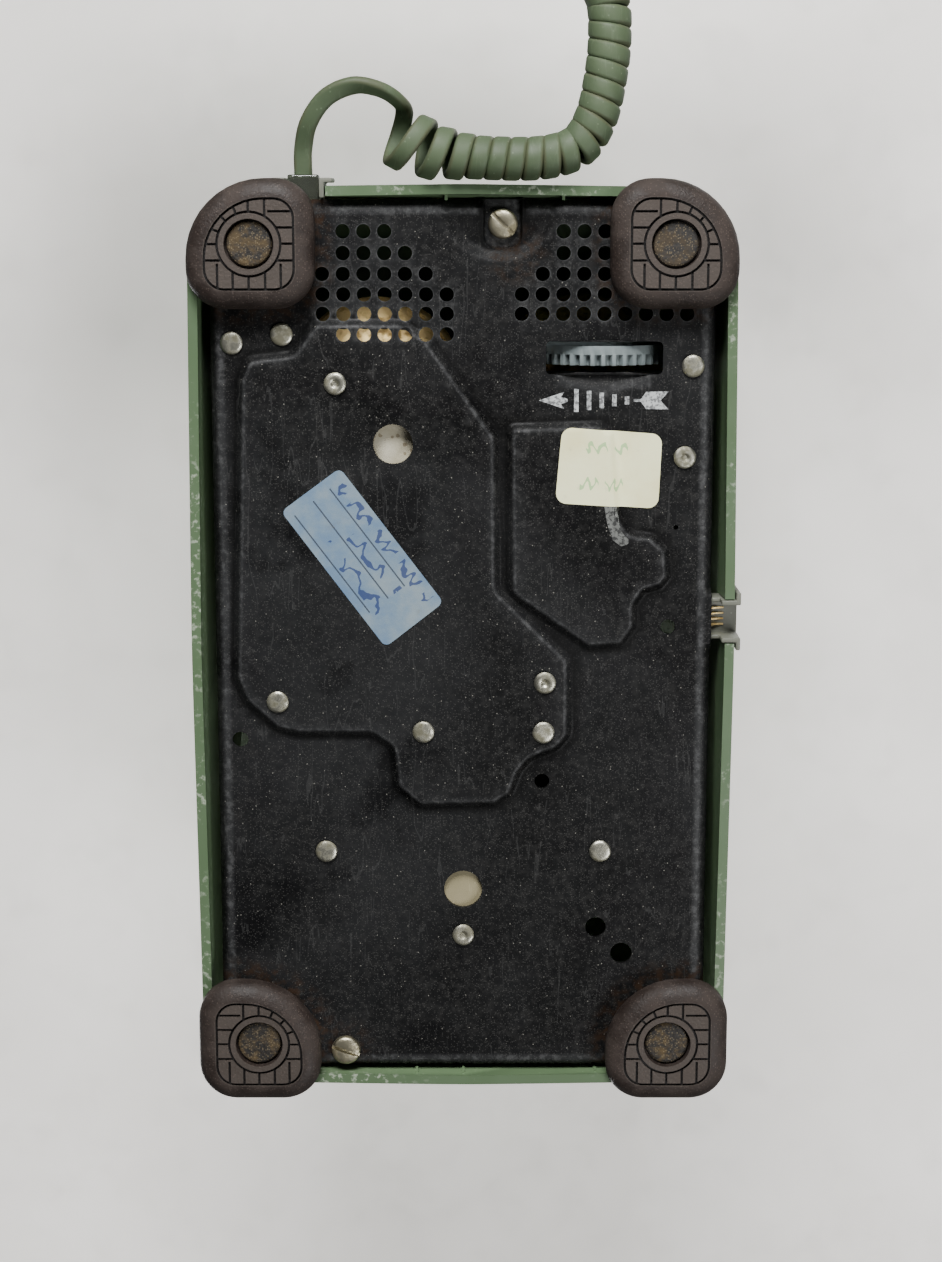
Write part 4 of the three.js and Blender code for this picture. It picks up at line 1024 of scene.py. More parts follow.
# %% Where painted shade, painted highlight with some wear, and rust lie on the plate
def mark_plate():
    flat = drawn_points(plate)[:, :2]
    panel = np.maximum(*(loop_distance(flat, loop) for loop in PANELS))
    edge = loop_distance(flat, PLATE_OUTLINE)
    # Painted shade in the creases round the panels, beside the screw tab and in the recess round the screw.
    hollow_shade = smooth_step(1 - np.abs(panel + 0.5) / 1.1) * 0.9
    tab = loop_distance(flat, SCREW_TAB)
    hollow_shade = np.maximum(hollow_shade, smooth_step(1 - np.abs(tab + 0.5) / 1.0) * (flat[:, 1] < 111))
    zone = SCREW_ZONE[2] - np.hypot(flat[:, 0] - SCREW_ZONE[0], flat[:, 1] - SCREW_ZONE[1])
    hollow_shade = np.maximum(hollow_shade, 0.55 * smooth_step(zone / 6) * (tab < 0.2))
    # Painted highlight with some edge wear: panel crests, a band inside the rolled rim, the tab floor and the
    # front of the wheel dish.
    ridge_highlight = smooth_step(1 - np.abs(panel - 1.7) / 0.8) * 0.8
    ridge_highlight = np.maximum(ridge_highlight, smooth_step(1 - np.abs(edge - 2.6) / 1.5) * (tab < -1))
    ridge_highlight = np.maximum(ridge_highlight, 0.9 * smooth_step((tab - 0.5) / 0.5))
    dish = loop_distance(flat, WHEEL_DISH)
    ridge_highlight = np.maximum(ridge_highlight, 0.8 * smooth_step(1 - np.abs(dish) / 0.9) * (flat[:, 1] < 68))
    # Painted highlight round the rim of every louver hole.
    hole_rim_highlight = np.zeros(len(flat))
    for x, y, r in louvers:
        away = np.hypot(flat[:, 0] - x, flat[:, 1] - y) - r
        hole_rim_highlight = np.maximum(hole_rim_highlight, smooth_step(1.4 - away / 0.28))
    rust = np.zeros(len(flat))
    for name in FEET:
        away = -loop_distance(flat, foot_outline(name))
        rust = np.maximum(rust, smooth_step(1 - away / 5.5))
    for x, y in ((-13, 97), (30.2, -105.2)):
        away = np.hypot(flat[:, 0] - x, flat[:, 1] - y) - 4
        rust = np.maximum(rust, 0.6 * smooth_step(1 - away / 5))
    mark(plate, "hollow_shade", hollow_shade)
    mark(plate, "ridge_highlight", np.maximum(ridge_highlight, hole_rim_highlight))
    mark(plate, "rust", rust)


mark_plate()
settle(plate, "base", PAINT, "painted_steel", "base_plate")
print("base plate:", len(plate.data.polygons), "faces")

# %% [markdown]
# ## Feet
#
# Each foot is a block of moulded rubber held by one steel rivet at its middle. The tread has a groove
# along its edge, a groove round the rivet, and short grooves in between. A mould cutter makes those with
# one small cutter, so here they are cut from a plain block in the same way.

# %% Feet
TREAD_INSET = 4.1
GROOVE = 0.6
GROOVE_DEPTH = 0.7
RING_OUT = 7.3
RECESS_R = 5.9
FOOT_SIDES = [(0, 6), (0, 3.4), (0.25, 2.6), (0.8, 1.75)]
FOOT_SIDES += [(1.6, 1.0), (2.5, 0.48), (3.3, 0.18), (TREAD_INSET, 0.0)]


def foot_block(name):
    """The block, from the top of the foot down its sloping sides to the tread."""
    count = 120
    verts = []
    for inset, height in FOOT_SIDES:
        verts += [(p.x, p.y, height) for p in resampled_count(foot_outline(name, inset), count)]
    return new_piece(f"foot_{name}_rubber", verts, tube_faces(len(FOOT_SIDES), count))


def resampled_count(loop, count):
    p = np.array([tuple(v) for v in loop] + [tuple(loop[0])])
    run = run_along(p)
    wanted = np.linspace(0, run[-1], count, endpoint=False)
    return [Vector((np.interp(w, run, p[:, 0]), np.interp(w, run, p[:, 1]))) for w in wanted]


def ring_prism(outer, inner, low, high):
    """A closed ring between two outlines with the same number of points."""
    count = len(outer)
    verts = [(p.x, p.y, h) for loop in (outer, inner) for h in (low, high) for p in loop]
    faces = []
    for k in range(count):
        n = (k + 1) % count
        o, t, i, j = k, k + count, k + 2 * count, k + 3 * count
        on, tn, in_, jn = n, n + count, n + 2 * count, n + 3 * count
        faces += [(o, on, tn, t), (i, j, jn, in_), (o, i, in_, on), (t, tn, jn, j)]
    return verts, faces


def short_grooves(name):
    """Short straight cuts between the middle ring and the edge groove."""
    centre = FEET[name]
    edge = foot_outline(name, TREAD_INSET + 0.5)
    ring_edge = RING_OUT + 0.15
    round_x = ROUND_SIDE[name]
    cuts = []
    for offset in (-3.85, 0.1, 3.9):
        cuts += [((offset, 0), (0, -1)), ((0, offset), (-round_x, 0))]
    cuts += [((0, 0), (0, 1)), ((-3.9 * round_x, 0), (0, 1))]
    cuts += [((0, 0), (round_x, 0)), ((0, -3.85), (round_x, 0))]
    cuts += [((7.6 * round_x, 0), (0, -1)), ((-7.6 * round_x, 0), (0, -1)), ((0, 7.7), (-round_x, 0))]
    for turn in (22, 45, 68):
        cuts.append(((0, 0), (math.cos(math.radians(turn)) * round_x, math.sin(math.radians(turn)))))
    parts = []
    for (ox, oy), (dx, dy) in cuts:
        off = abs(ox + oy)
        start = ring_edge if off < 0.2 else math.sqrt(max(0.3, ring_edge**2 - off**2))
        start = 4.6 if off > 7.4 else start
        end = start
        while loop_distance([(centre.x + ox + dx * end, centre.y + oy + dy * end)], edge)[0] > 0 and end < 14:
            end += 0.1
        if end < start + 0.6:
            continue
        nx, ny = -dy * GROOVE / 2, dx * GROOVE / 2
        corners = []
        for t, sense in ((start, 1), (start, -1), (end, -1), (end, 1)):
            corners.append(Vector((centre.x + ox + dx * t + nx * sense, centre.y + oy + dy * t + ny * sense)))
        parts.append(prism(corners, -1, GROOVE_DEPTH - 0.1))
    return parts


def make_foot(name):
    centre = FEET[name]
    foot = foot_block(name)
    outer = resampled_count(foot_outline(name, TREAD_INSET + 0.4), 96)
    inner = resampled_count(foot_outline(name, TREAD_INSET + 0.4 + GROOVE), 96)
    around = [circle(*centre[:2], RING_OUT + wide, 64) for wide in (GROOVE, 0)]
    ring = ring_prism(*around, -1, GROOVE_DEPTH)
    recess = [(0, -1), (RECESS_R + 0.35, -1), (RECESS_R, 0.25), (RECESS_R, 2.6), (0, 2.6)]
    tools = [
        new_piece("edge_groove", *ring_prism(outer, inner, -1, GROOVE_DEPTH)),
        new_piece("middle_groove", *ring),
        new_piece("recess", *turned(recess, 56, (*centre[:2], 0))),
        *(new_piece("short_groove", *part) for part in short_grooves(name)),
    ]
    carve(foot, tools)
    shade(foot, 40)
    world = drawn_points(foot)
    from_middle = np.hypot(world[:, 0] - centre.x, world[:, 1] - centre.y)
    inside = loop_distance(world[:, :2], foot_outline(name, TREAD_INSET + 0.2)) > 0
    # Painted shade mask: the walls and floors of the tread grooves, outside the rivet recess.
    cut = inside & (world[:, 2] > 0.3) & (world[:, 2] < 2) & (from_middle > RECESS_R + 0.6)
    mark(foot, "groove", cut)
    mark(foot, "tread", inside & (world[:, 2] < 0.1))
    return settle(foot, "base", RUBBER, "foot_rubber", f"foot_{name}")


for foot_name in FEET:
    print(foot_name, len(make_foot(foot_name).data.polygons), "faces")

# %% [markdown]
# ## Rivets and screws
#
# The plate's rivets are plated tubular rivets, closed from below to a low dome. The two housing screws are
# slotted cheese-heads, and their slots are worn by a screwdriver. All of them are turned from one profile
# per kind, with a little tilt and turn of their own, because no two are set alike.

# %% Rivets and screws
RIVET_PLACES = [middle(f"rivet_{k}") for k in range(1, 13)]
rng = random.Random(7)


def turned_piece(name, profile, at, sides=40, sharp=35, tilt=0.0):
    piece = new_piece(name, *turned(profile, sides, (0, 0, 0)), sharp=sharp)
    lean = Matrix.Rotation(math.radians(tilt), 4, Vector((rng.uniform(-1, 1), rng.uniform(-1, 1), 0.01)))
    return put(piece, at, lean)


def make_rivet(number, spot):
    low_z = drawn_box(f"rivet_{number}")[0].z
    head = 2.75
    profile = [(0, 0.16), (1.5, 0.17), (2.1, 0.21), (2.5, 0.34), (head, 0.62), (head - 0.05, 0.86)]
    profile += [(1.2, 0.88), (1.2, 3.4), (0, 3.4)]
    if number in (3, 6, 9, 12):
        profile[:2] = [(0, 0.75), (0.5, 0.72), (0.95, 0.3), (1.25, 0.14)]
    return turned_piece(f"rivet_{number}_head", profile, (spot.x, spot.y, low_z), tilt=3)


for rivet_number, rivet_spot in enumerate(RIVET_PLACES, 1):
    rivet = make_rivet(rivet_number, rivet_spot)
    settle(rivet, "base", ZINC, "rivet_zinc", f"rivet_{rivet_number}")

disc = [(0, 1.35), (4.7, 1.35), (5.2, 1.5), (5.45, 1.8), (5.45, 2.25), (2, 2.3)]
disc += [(2, 10.5), (3.4, 10.5), (3.4, 11.3), (0, 11.3)]
for foot_name, foot_spot in FEET.items():
    rivet = turned_piece(f"foot_rivet_{foot_name}_turned", disc, (foot_spot.x, foot_spot.y, 0), 48, 12)
    settle(rivet, "base", RUSTY, "foot_rivet_steel", f"foot_rivet_{foot_name}")


def make_screw(where, radius, low_z, high_z, turn):
    spot = middle(f"housing_screw_{where}")
    profile = [
        (0, 0),
        (radius - 1.1, 0.08),
        (radius - 0.4, 0.3),
        (radius - 0.08, 0.62),
        (radius, 1.0),
        (radius, high_z - low_z),
        (1.7, high_z - low_z),
        (1.7, 22 - low_z),
        (0, 22.6 - low_z),
    ]
    screw = turned_piece(f"housing_screw_{where}_turned", profile, (spot.x, spot.y, low_z), 56, tilt=1.5)
    blade = new_piece("blade", *block((-radius - 1, -0.5, -1), (radius + 1, 0.5, 1.05)))
    put(blade, (spot.x, spot.y, low_z), Matrix.Rotation(math.radians(turn), 4, "Z"))
    carve(screw, [blade])
    bevelled(screw, 0.12, 2, 50)
    return settle(screw, "base", SCREW_BRASS, "screw_brass", f"housing_screw_{where}")


make_screw("rear", 3.6, 9.6, 11.9, 43)
make_screw("front", 3.7, 7.0, 8.7, 18)
print("rivets and screws made")

# %% [markdown]
# ## Labels and marks
#
# A maker's sticker and a workshop label were stuck on the plate. Their print has worn away to faint rules
# and strokes. Thin paper follows the pressing below it, so each sheet takes its height from the same
# drawing as the plate. The loudness mark is white paint: an arrow with bars that grow towards the loud
# side.


# %% Papers and white paint
def within(tree, value, centre, reach):
    """1 where a value is less than its reach from the centre, else 0."""
    away = maths(tree, "ABSOLUTE", maths(tree, "SUBTRACT", value, centre))
    return maths(tree, "LESS_THAN", away, reach)


def worn_paper(name, paper, stain, ink, rules, writing, slope):
    """Paper with ruled lines and rows of worn strokes. Across and down run from 0 to 1 over the sheet."""
    material, tree, shader = new_material(name, Roughness=0.75, Specular_IOR_Level=0.3)
    fade = effect(tree, BLOTCHES, Scale=75.0, Low=0.40, High=0.75)
    color = mix(tree, fade, (*paper, 1), (*stain, 1))
    down, across = attribute(tree, "down"), attribute(tree, "across")
    for at in rules:
        line = within(tree, down, at, 0.010)
        short = maths(tree, "MULTIPLY", line, within(tree, across, 0.42, 0.36))
        color = over(tree, color, short, 0.85, (0.03, 0.035, 0.05))
    where = add(tree, "ShaderNodeTexCoord").outputs["Object"]
    wobble = add(tree, "ShaderNodeTexNoise", {"Vector": where, "Scale": 260.0, "Detail": 1.0}).outputs["Fac"]
    for at, tall, loops, start, end in writing:
        steady, uneven = maths(tree, "MULTIPLY", across, loops), maths(tree, "MULTIPLY", wobble, 9.0)
        phase = maths(tree, "ADD", steady, uneven)
        wave = maths(tree, "ADD", maths(tree, "MULTIPLY", maths(tree, "SINE", phase), tall), at)
        lean = maths(tree, "ADD", down, maths(tree, "MULTIPLY", across, slope))
        stroke = within(tree, lean, wave, 0.030)
        begun, ended = maths(tree, "GREATER_THAN", across, start), maths(tree, "LESS_THAN", across, end)
        reach = maths(tree, "MULTIPLY", begun, ended)
        words = maths(tree, "SINE", maths(tree, "MULTIPLY", across, loops * 0.37))
        gap = maths(tree, "GREATER_THAN", words, -0.72)
        stroke = maths(tree, "MULTIPLY", maths(tree, "MULTIPLY", stroke, reach), gap)
        color = over(tree, color, stroke, 0.8, ink)
    dirt = effect(tree, BLOTCHES, Scale=210.0, Low=0.60, High=0.78)
    color = over(tree, color, dirt, 0.35, (0.16, 0.14, 0.10))
    tree.links.new(color, shader.inputs["Base Color"])
    grained(tree, shader, 1100.0, 0.2, 0.0002)
    return material


PAPER = 0.07


def laid_sheet(name, outline, lift):
    """A thin sheet of any outline that lies on the pressing."""
    xs, ys = [p.x for p in outline], [p.y for p in outline]
    rows, columns = np.arange(min(ys), max(ys), 0.55), np.arange(min(xs), max(xs), 0.55)
    grid = np.array([(x, y) for x in columns for y in rows])
    free = grid[loop_distance(grid, outline) > 0.3]
    edges = [(k, (k + 1) % len(outline)) for k in range(len(outline))]
    flat, _, faces, *_ = geometry.delaunay_2d_cdt([*outline, *(Vector(p) for p in free)], edges, [], 1, 1e-4)
    flat = np.array([tuple(p) for p in flat])
    height, _ = plate_height(flat)
    sheet = new_piece(name, np.column_stack([flat, height - lift]), [tuple(face) for face in faces])
    return thickened(sheet, PAPER)


def paper_sheet(name, corners, round_r, material):
    """A sheet between four corners. The first two corners run across it."""
    sheet = laid_sheet(name, resampled(rounded([(*c, round_r) for c in corners], 15), 0.9), 0.1)
    a, b, c, d = (np.array(corner, float) for corner in corners)
    here = drawn_points(sheet)[:, :2] - a
    axes = np.column_stack([(b - a + c - d) / 2, (d - a + c - b) / 2])
    across, down = np.linalg.solve(axes, here.T)
    mark(sheet, "across", across)
    mark(sheet, "down", down)
    return settle(sheet, "base", material, "painted_steel")


STICKER_PRINT = [(0.24, 0.055, 60.0, 0.24, 0.66), (0.72, 0.06, 70.0, 0.20, 0.68)]
CREAM, OLD_CREAM, GREEN_INK = (1.0, 1.0, 0.62), (0.90, 0.86, 0.48), (0.34, 0.60, 0.26)
CREAM_PAPER = worn_paper("cream_paper", CREAM, OLD_CREAM, GREEN_INK, (), STICKER_PRINT, 0.0)
LABEL_WRITING = [
    (0.16, 0.06, 75.0, 0.08, 0.93),
    (0.44, 0.07, 42.0, 0.30, 0.78),
    (0.76, 0.075, 34.0, 0.30, 0.88),
]
LABEL_RULES = (0.28, 0.56, 0.88)
PALE_BLUE, FADED_BLUE, BLUE_INK = (0.12, 0.20, 0.31), (0.24, 0.30, 0.33), (0.015, 0.03, 0.13)
BLUE_PAPER = worn_paper("pale_blue_paper", PALE_BLUE, FADED_BLUE, BLUE_INK, LABEL_RULES, LABEL_WRITING, 0.03)
paper_sheet("maker_sticker", [(-24.3, 55.5), (-49, 53.6), (-48.2, 35.2), (-22.7, 36.8)], 2.6, CREAM_PAPER)
paper_sheet("workshop_label", [(44.8, 34.7), (19.3, 0.7), (4.8, 12.0), (30.2, 45.5)][::-1], 1.6, BLUE_PAPER)


def rubbed_paint(name, pale, dark):
    """Thin pale paint that has worn through to the black in small spots."""
    material, tree, shader = new_material(name, Roughness=0.6, Specular_IOR_Level=0.25)
    spots = effect(tree, BLOTCHES, Scale=1150.0, Low=0.46, High=0.58)
    broad = effect(tree, BLOTCHES, Scale=190.0, Low=0.40, High=0.75)
    color = mix(tree, maths(tree, "MULTIPLY", broad, 0.45), (*pale, 1), (*dark, 1))
    color = over(tree, color, spots, 0.8, dark)
    tree.links.new(color, shader.inputs["Base Color"])
    return material


WORN_WHITE = rubbed_paint("worn_white_paint", (0.52, 0.54, 0.54), (0.07, 0.07, 0.074))
WORN_SILVER = rubbed_paint("worn_silver_paint", (0.17, 0.175, 0.165), (0.012, 0.012, 0.013))
smear = [(-34.7, 36.6), (-37.9, 36.4), (-38.6, 31.3), (-39.5, 29.2)]
smear += [(-41.6, 26.9), (-39.1, 26.0), (-37.0, 27.6), (-35.6, 31.5)]
silver_smear = laid_sheet("silver_smear", resampled(rounded([(*c, 0.8) for c in smear], 15), 0.6), 0.03)
settle(silver_smear, "base", WORN_SILVER, "painted_steel")


def loudness_mark():
    """An arrow: its head, bars that grow, and its feathers."""
    middle_y, low, high = 61.9, 8.88, 9.0
    head = [(-18.6, 0), (-24.9, 2.1), (-24.0, 0.9), (-25.6, 0.35)]
    head += [(x, -y) for x, y in reversed(head[1:])]
    tail = [(-41.8, 0.35), (-43.6, 0.35), (-44.9, 2.1), (-50.4, 2.2), (-48.4, 0)]
    tail += [(x, -y) for x, y in reversed(tail[:-1])]
    parts = [prism([Vector((x, middle_y + y)) for x, y in loop], low, high) for loop in (head, tail)]
    for k in range(5):
        x, tall = -40.2 + 3.1 * k, 1.0 + 0.45 * k
        parts.append(block((x - 0.55, middle_y - tall, low), (x + 0.55, middle_y + tall, high)))
    return new_piece("loudness_mark", *joined(parts))


settle(loudness_mark(), "base", WORN_WHITE, "painted_steel")
print("labels and mark made")

# %% [markdown]
# ## Housing
#
# The housing is one moulding: a wedge with a flat deck, a slope for the dial, and two ears for the
# handset. It is the meeting of a side outline, a front outline and a plan. A soft skin is drawn over that
# shape for the large round edges. Then the inside, the dial opening and the notches are cut crisp, as a
# mould core would leave them.

# %% Housing drawing
RIM_Z = 6.5
WALL = 2.4
DECK_Z = 93.5
SLOPE = math.radians(25)
NOSE_Y = -112.5
SIDE_PROFILE = [
    (-114, -40, 0),
    (114, -40, 0),
    (114, RIM_Z, 0),
    (104, DECK_Z, 9),
    (30, DECK_Z, 14),
    (NOSE_Y, DECK_Z - (30 - NOSE_Y) * math.tan(SLOPE), 13),
    (-114, RIM_Z, 0),
]
FRONT_PROFILE = [
    (-67.5, -40, 0),
    (67.5, -40, 0),
    (67.5, RIM_Z, 0),
    (61, DECK_Z + 0.5, 12),
    (-61, DECK_Z + 0.5, 12),
    (-67.5, RIM_Z, 0),
]
PLAN = [
    (67.5, 0, 0),
    (66.4, 113, 20),
    (0, 114, 0),
    (-66.4, 113, 20),
    (-67.5, 0, 0),
    (-66.4, -113, 20),
    (0, -114, 0),
    (66.4, -113, 20),
]
CRADLE = (62, 111, 18)
CARRY_GRIP = (110, 73, 15)
CARRY_HALF = 31
DIAL_OPENING = 54.4
JACK_TOP = 18.3
EAR_SIDE = [(25, 91.6, 0), (99, 91.6, 0), (97.5, 112, 6), (27, 112, 6)]
EAR_FRONT = [(37, 91.6, 0), (60.5, 91.6, 0), (58.5, 113, 7), (40, 113, 7)]


def inset_corners(corners, distance):
    """Moves every side of a convex outline inwards and sharpens its corners to match."""
    area = sum(a[0] * b[1] - b[0] * a[1] for a, b in zip(corners, corners[1:] + corners[:1]))
    sense = 1 if area > 0 else -1
    moved = []
    for i, (x, y, radius) in enumerate(corners):
        here = Vector((x, y))
        back = (here - Vector(corners[i - 1][:2])).normalized()
        on = (Vector(corners[(i + 1) % len(corners)][:2]) - here).normalized()
        n1 = Vector((-back.y, back.x)) * sense
        n2 = Vector((-on.y, on.x)) * sense
        point = here + (n1 + n2) * distance / (1 + n1.dot(n2))
        moved.append((point.x, point.y, max(0, radius - distance) if radius else 0))
    return moved


def wedge(name, inset, bottom, step):
    outlines = [rounded(inset_corners(shape, inset), step) for shape in (SIDE_PROFILE, FRONT_PROFILE, PLAN)]
    made = new_piece(name, *prism(outlines[2], bottom, 130))
    side = new_piece("side", *prism(outlines[0], -90, 90, "x"))
    front = new_piece("front", *prism(outlines[1], -140, 140, "y"))
    carve(made, [side, front], "INTERSECT")
    return made


def rod_x(y, z, radius, low, high, sides):
    return new_piece("rod", *prism(circle(y, z, radius, sides), low, high, "x"))


def soft_skin(piece, size, passes):
    """Draws an even skin over a rough solid and rounds its edges."""
    skin = piece.modifiers.new("skin", "REMESH")
    skin.mode = "VOXEL"
    skin.voxel_size = size * MM
    even = piece.modifiers.new("even", "SMOOTH")
    even.factor = 0.6
    even.iterations = passes
    apply_modifiers(piece)
    return piece


def dial_place(x, y, t):
    """A point in the tilted dial frame, in drawing millimetres."""
    turned_point = Matrix.Rotation(SLOPE, 3, "X") @ Vector((x, y, t))
    middle_z = DECK_Z - 64 * math.tan(SLOPE)
    return turned_point + Vector((0, -34, middle_z))


def ear(sense):
    shape = new_piece("ear", *prism([Vector((sense * x, z)) for x, z in rounded(EAR_FRONT, 8)], 0, 120, "y"))
    long = new_piece("long", *prism(rounded(EAR_SIDE, 8), -90, 90, "x"))
    carve(shape, [long], "INTERSECT")
    return shape


def post(x, y, radius, low, high, sides=40):
    return new_piece("post", *prism(circle(x, y, radius, sides), low, high))


def box_piece(lower, upper):
    return new_piece("block", *block(lower, upper))


def make_housing():
    housing = wedge("housing_moulding", 0, -14, 4)
    carve(housing, [ear(1), ear(-1)], "UNION")
    carve(housing, [rod_x(*CRADLE, -90, 90, 96), rod_x(*CARRY_GRIP, -CARRY_HALF, CARRY_HALF, 72)])
    soft_skin(housing, 1.25, 14)
    inner = wedge("inside", WALL, -30, 8)
    y, z, radius = CARRY_GRIP
    carve(inner, [rod_x(y, z, radius + WALL, -CARRY_HALF - WALL, CARRY_HALF + WALL, 40)])
    opening = [(0, -30), (DIAL_OPENING, -30), (DIAL_OPENING, 20), (0, 20)]
    dial_hole = new_piece("dial_hole", *turned(opening, 128))
    put(dial_hole, dial_place(0, 0, 0), Matrix.Rotation(SLOPE, 4, "X"))
    carve(housing, [inner, dial_hole, box_piece((-90, -140, -60), (90, 140, RIM_Z))])
    notches = [box_piece((33, 100, 0), (44.2, 140, JACK_TOP))]
    notches.append(box_piece((-90, 1.7, 0), (-60, 12.9, JACK_TOP)))
    carve(housing, notches)
    carve(housing, [post(s * 50, 62, 3.7, 60, 140) for s in (1, -1)])
    posts = [box_piece((-14.2, 100, 14.3), (-5.2, 111.1, 26))]
    posts.append(box_piece((25.7, -111.0, 14.3), (34.7, -100.7, 23)))
    ribs = [box_piece((x - 0.35, 110.1, 8.2), (x + 0.35, 111.5, 26)) for x in (-24.3, 4)]
    ribs += [box_piece((x - 0.35, -111.5, 8.2), (x + 0.35, -110.6, 26)) for x in (-34, 0, 12)]
    carve(housing, [*posts, *ribs], "UNION")
    shade(housing, 32)
    mark(housing, "rim", drawn_points(housing)[:, 2] < RIM_Z + 0.02)
    return settle(housing, "base", GREEN, "housing_plastic", "housing")


housing = make_housing()
print("housing:", len(housing.data.polygons), "faces")

# %% [markdown]
# ## Jacks and plugs
#
# Both jacks are the same moulding in light grey plastic. It slides into a notch in the wall and grips it
# between a lip and a web. The line jack at the side is empty. Its channel holds four spring wires, which
# are bent from gold-coloured wire. The handset cord's plug fills the rear one.


# %% Jacks
def jack(name, x, y, turn):
    made = box_piece((-5.3, -3.3, 6.2), (5.3, 1.4, 18))
    made.name = name
    inner, lips = box_piece((-5.3, -14, 11), (5.3, -3, 18)), box_piece((-7.25, 0.3, 6.2), (7.25, 1.4, 18.6))
    carve(made, [inner, lips], "UNION")
    carve(made, [box_piece((-4.1, -11.5, 0), (4.1, 5, 15.4))])
    bevelled(made, 0.3, 2)
    return put(made, (x, y, 0), Matrix.Rotation(math.radians(turn), 4, "Z"))


settle(jack("handset_jack_moulding", 38.6, 114, 0), "base", GREY, "jack_plastic", "handset_jack")
settle(jack("line_jack_moulding", -67.5, 7.3, 90), "base", GREY, "jack_plastic", "line_jack")


def spring_wires():
    """Four wires. Each runs straight in and then bends down to meet a plug."""
    bent_down = ((-64.5, 14.9), (-64.2, 15.3), (-58.5, 12.7), (-58.7, 12.4))
    parts = []
    for k in range(4):
        y = 7.3 - 2.1 + 1.4 * k
        parts.append(block((-65.5, y - 0.2, 15.0), (-56.6, y + 0.2, 15.38)))
        parts.append(prism([Vector(p) for p in bent_down], y - 0.2, y + 0.2, "y"))
    return new_piece("line_jack_wires", *joined(parts))


settle(spring_wires(), "base", BRASS, "gong_brass")


def plug(name, node):
    lower, upper = drawn_box(node)
    return bevelled(new_piece(name, *block(lower, upper)), 0.5, 3)


settle(plug("base_plug_body", "base_plug"), "base", GRIMY_CLEAR, "clear_plastic", "base_plug")
settle(plug("handset_plug_body", "handset_plug"), "handset", GRIMY_CLEAR, "clear_plastic", "handset_plug")
print("jacks and plugs made")

# %% [markdown]
# ## Ringer and loudness wheel
#
# The gongs are spun from brass sheet, so they are turned here with a rolled lip. The loudness wheel is a
# grey moulding with ribs round its edge. A thumb pushes those from below, through the slot in the plate.


# %% Gongs and wheel
GONG_OUTSIDE = [(2, 0), (6, 0.0), (9, 0.25), (13, 1.1), (16.5, 2.7)]
GONG_OUTSIDE += [(19.2, 4.9), (20.8, 7.3), (21.6, 9.8), (21.95, 11.6), (21.7, 12)]
GONG_INSIDE = [(20.9, 11.9), (20.6, 9.8), (19.8, 7.6), (18.3, 5.5), (15.9, 3.7)]
GONG_INSIDE += [(12.6, 2.3), (9, 1.5), (6, 1.25), (2, 1.25), (2, 0)]


def gong(name, node):
    at = middle(node)
    at.z = drawn_box(node)[0].z
    return turned_piece(name, GONG_OUTSIDE + GONG_INSIDE, at, 72, 60)


settle(gong("gong_large_spun", "gong_large"), "base", BRASS, "gong_brass", "gong_large")
settle(gong("gong_small_spun", "gong_small"), "base", BRASS, "gong_brass", "gong_small")

WHEEL_WIDTH = 4.8


def ribbed_wheel():
    """Grip notches in the front half of the rim, a smooth band behind them, a dished face and an axle."""
    lower, upper = drawn_box("loudness_wheel")
    spot = middle("loudness_wheel")
    radius, ribs = (upper.x - lower.x) / 2, 42
    front, back = upper.y - WHEEL_WIDTH, upper.y
    notched = []
    for k in range(ribs):
        for part, reach in ((0.0, -1.5), (0.2, -1.5), (0.36, -0.2), (0.44, 0), (0.76, 0), (0.84, -0.2)):
            turn = 2 * math.pi * (k + part) / ribs
            out = Vector((math.cos(turn), math.sin(turn))) * (radius + reach)
            notched.append(Vector((spot.x, spot.z)) + out)
    wheel = new_piece("loudness_wheel_ribbed", *prism(notched, front, front + 2.9, "y"))
    band = new_piece("band", *prism(circle(spot.x, spot.z, radius - 0.02, 126), front + 2.6, back, "y"))
    dish = new_piece("dish", *prism(circle(spot.x, spot.z, radius - 3.5, 48), front - 1, front + 1.4, "y"))
    axle = new_piece("axle", *prism(circle(spot.x, spot.z, 1.6, 24), lower.y, front + 2, "y"))
    carve(wheel, [band], "UNION")
    carve(wheel, [dish])
    bevelled(wheel, 0.2, 2, 50)
    carve(wheel, [axle], "UNION")
    shade(wheel, 40)
    return wheel


settle(ribbed_wheel(), "loudness_wheel", WHEEL_GREY, "wheel_plastic", "loudness_wheel")
print("ringer pieces made")

# %% [markdown]
# ## Dial
#
# The dial is drawn flat and then tilted with the slope of the housing. Its finger wheel is clear plastic
# with ten holes. The numbers stand outside the wheel on the green ring, so a finger does not wear them.

# %% Dial
HOLE_CIRCLE = 28
NUMBER_CIRCLE = 45.3
NUMBER_SIZE = 6.4
HOLE_ANGLES = [math.radians(50 - 30 * k) for k in range(10)]


def dial_piece(name, shape):
    verts, faces = shape
    return new_piece(name, [tuple(dial_place(*v)) for v in verts], faces)


def dial_cutter(x, y, radius):
    return dial_piece("dial_cutter", turned([(0, -3), (radius, -3), (radius, 3), (0, 3)], 48, (x, y, 0)))


ring_profile = [
    (6.5, -3.8),
    (53.8, -3.8),
    (53.8, -0.9),
    (53.5, -0.2),
    (52.8, 0.5),
    (51.6, 0.95),
    (50, 1.0),
    (40.2, 1.0),
    (39.2, 0.75),
    (38.6, 0.1),
    (38.2, -1.2),
    (37.6, -1.9),
    (36.8, -2.0),
    (6.5, -2.0),
    (6.5, -3.8),
]
ring = dial_piece("number_ring_moulding", turned(ring_profile, 128))
settle(ring, "base", GREEN, "housing_plastic", "number_ring")

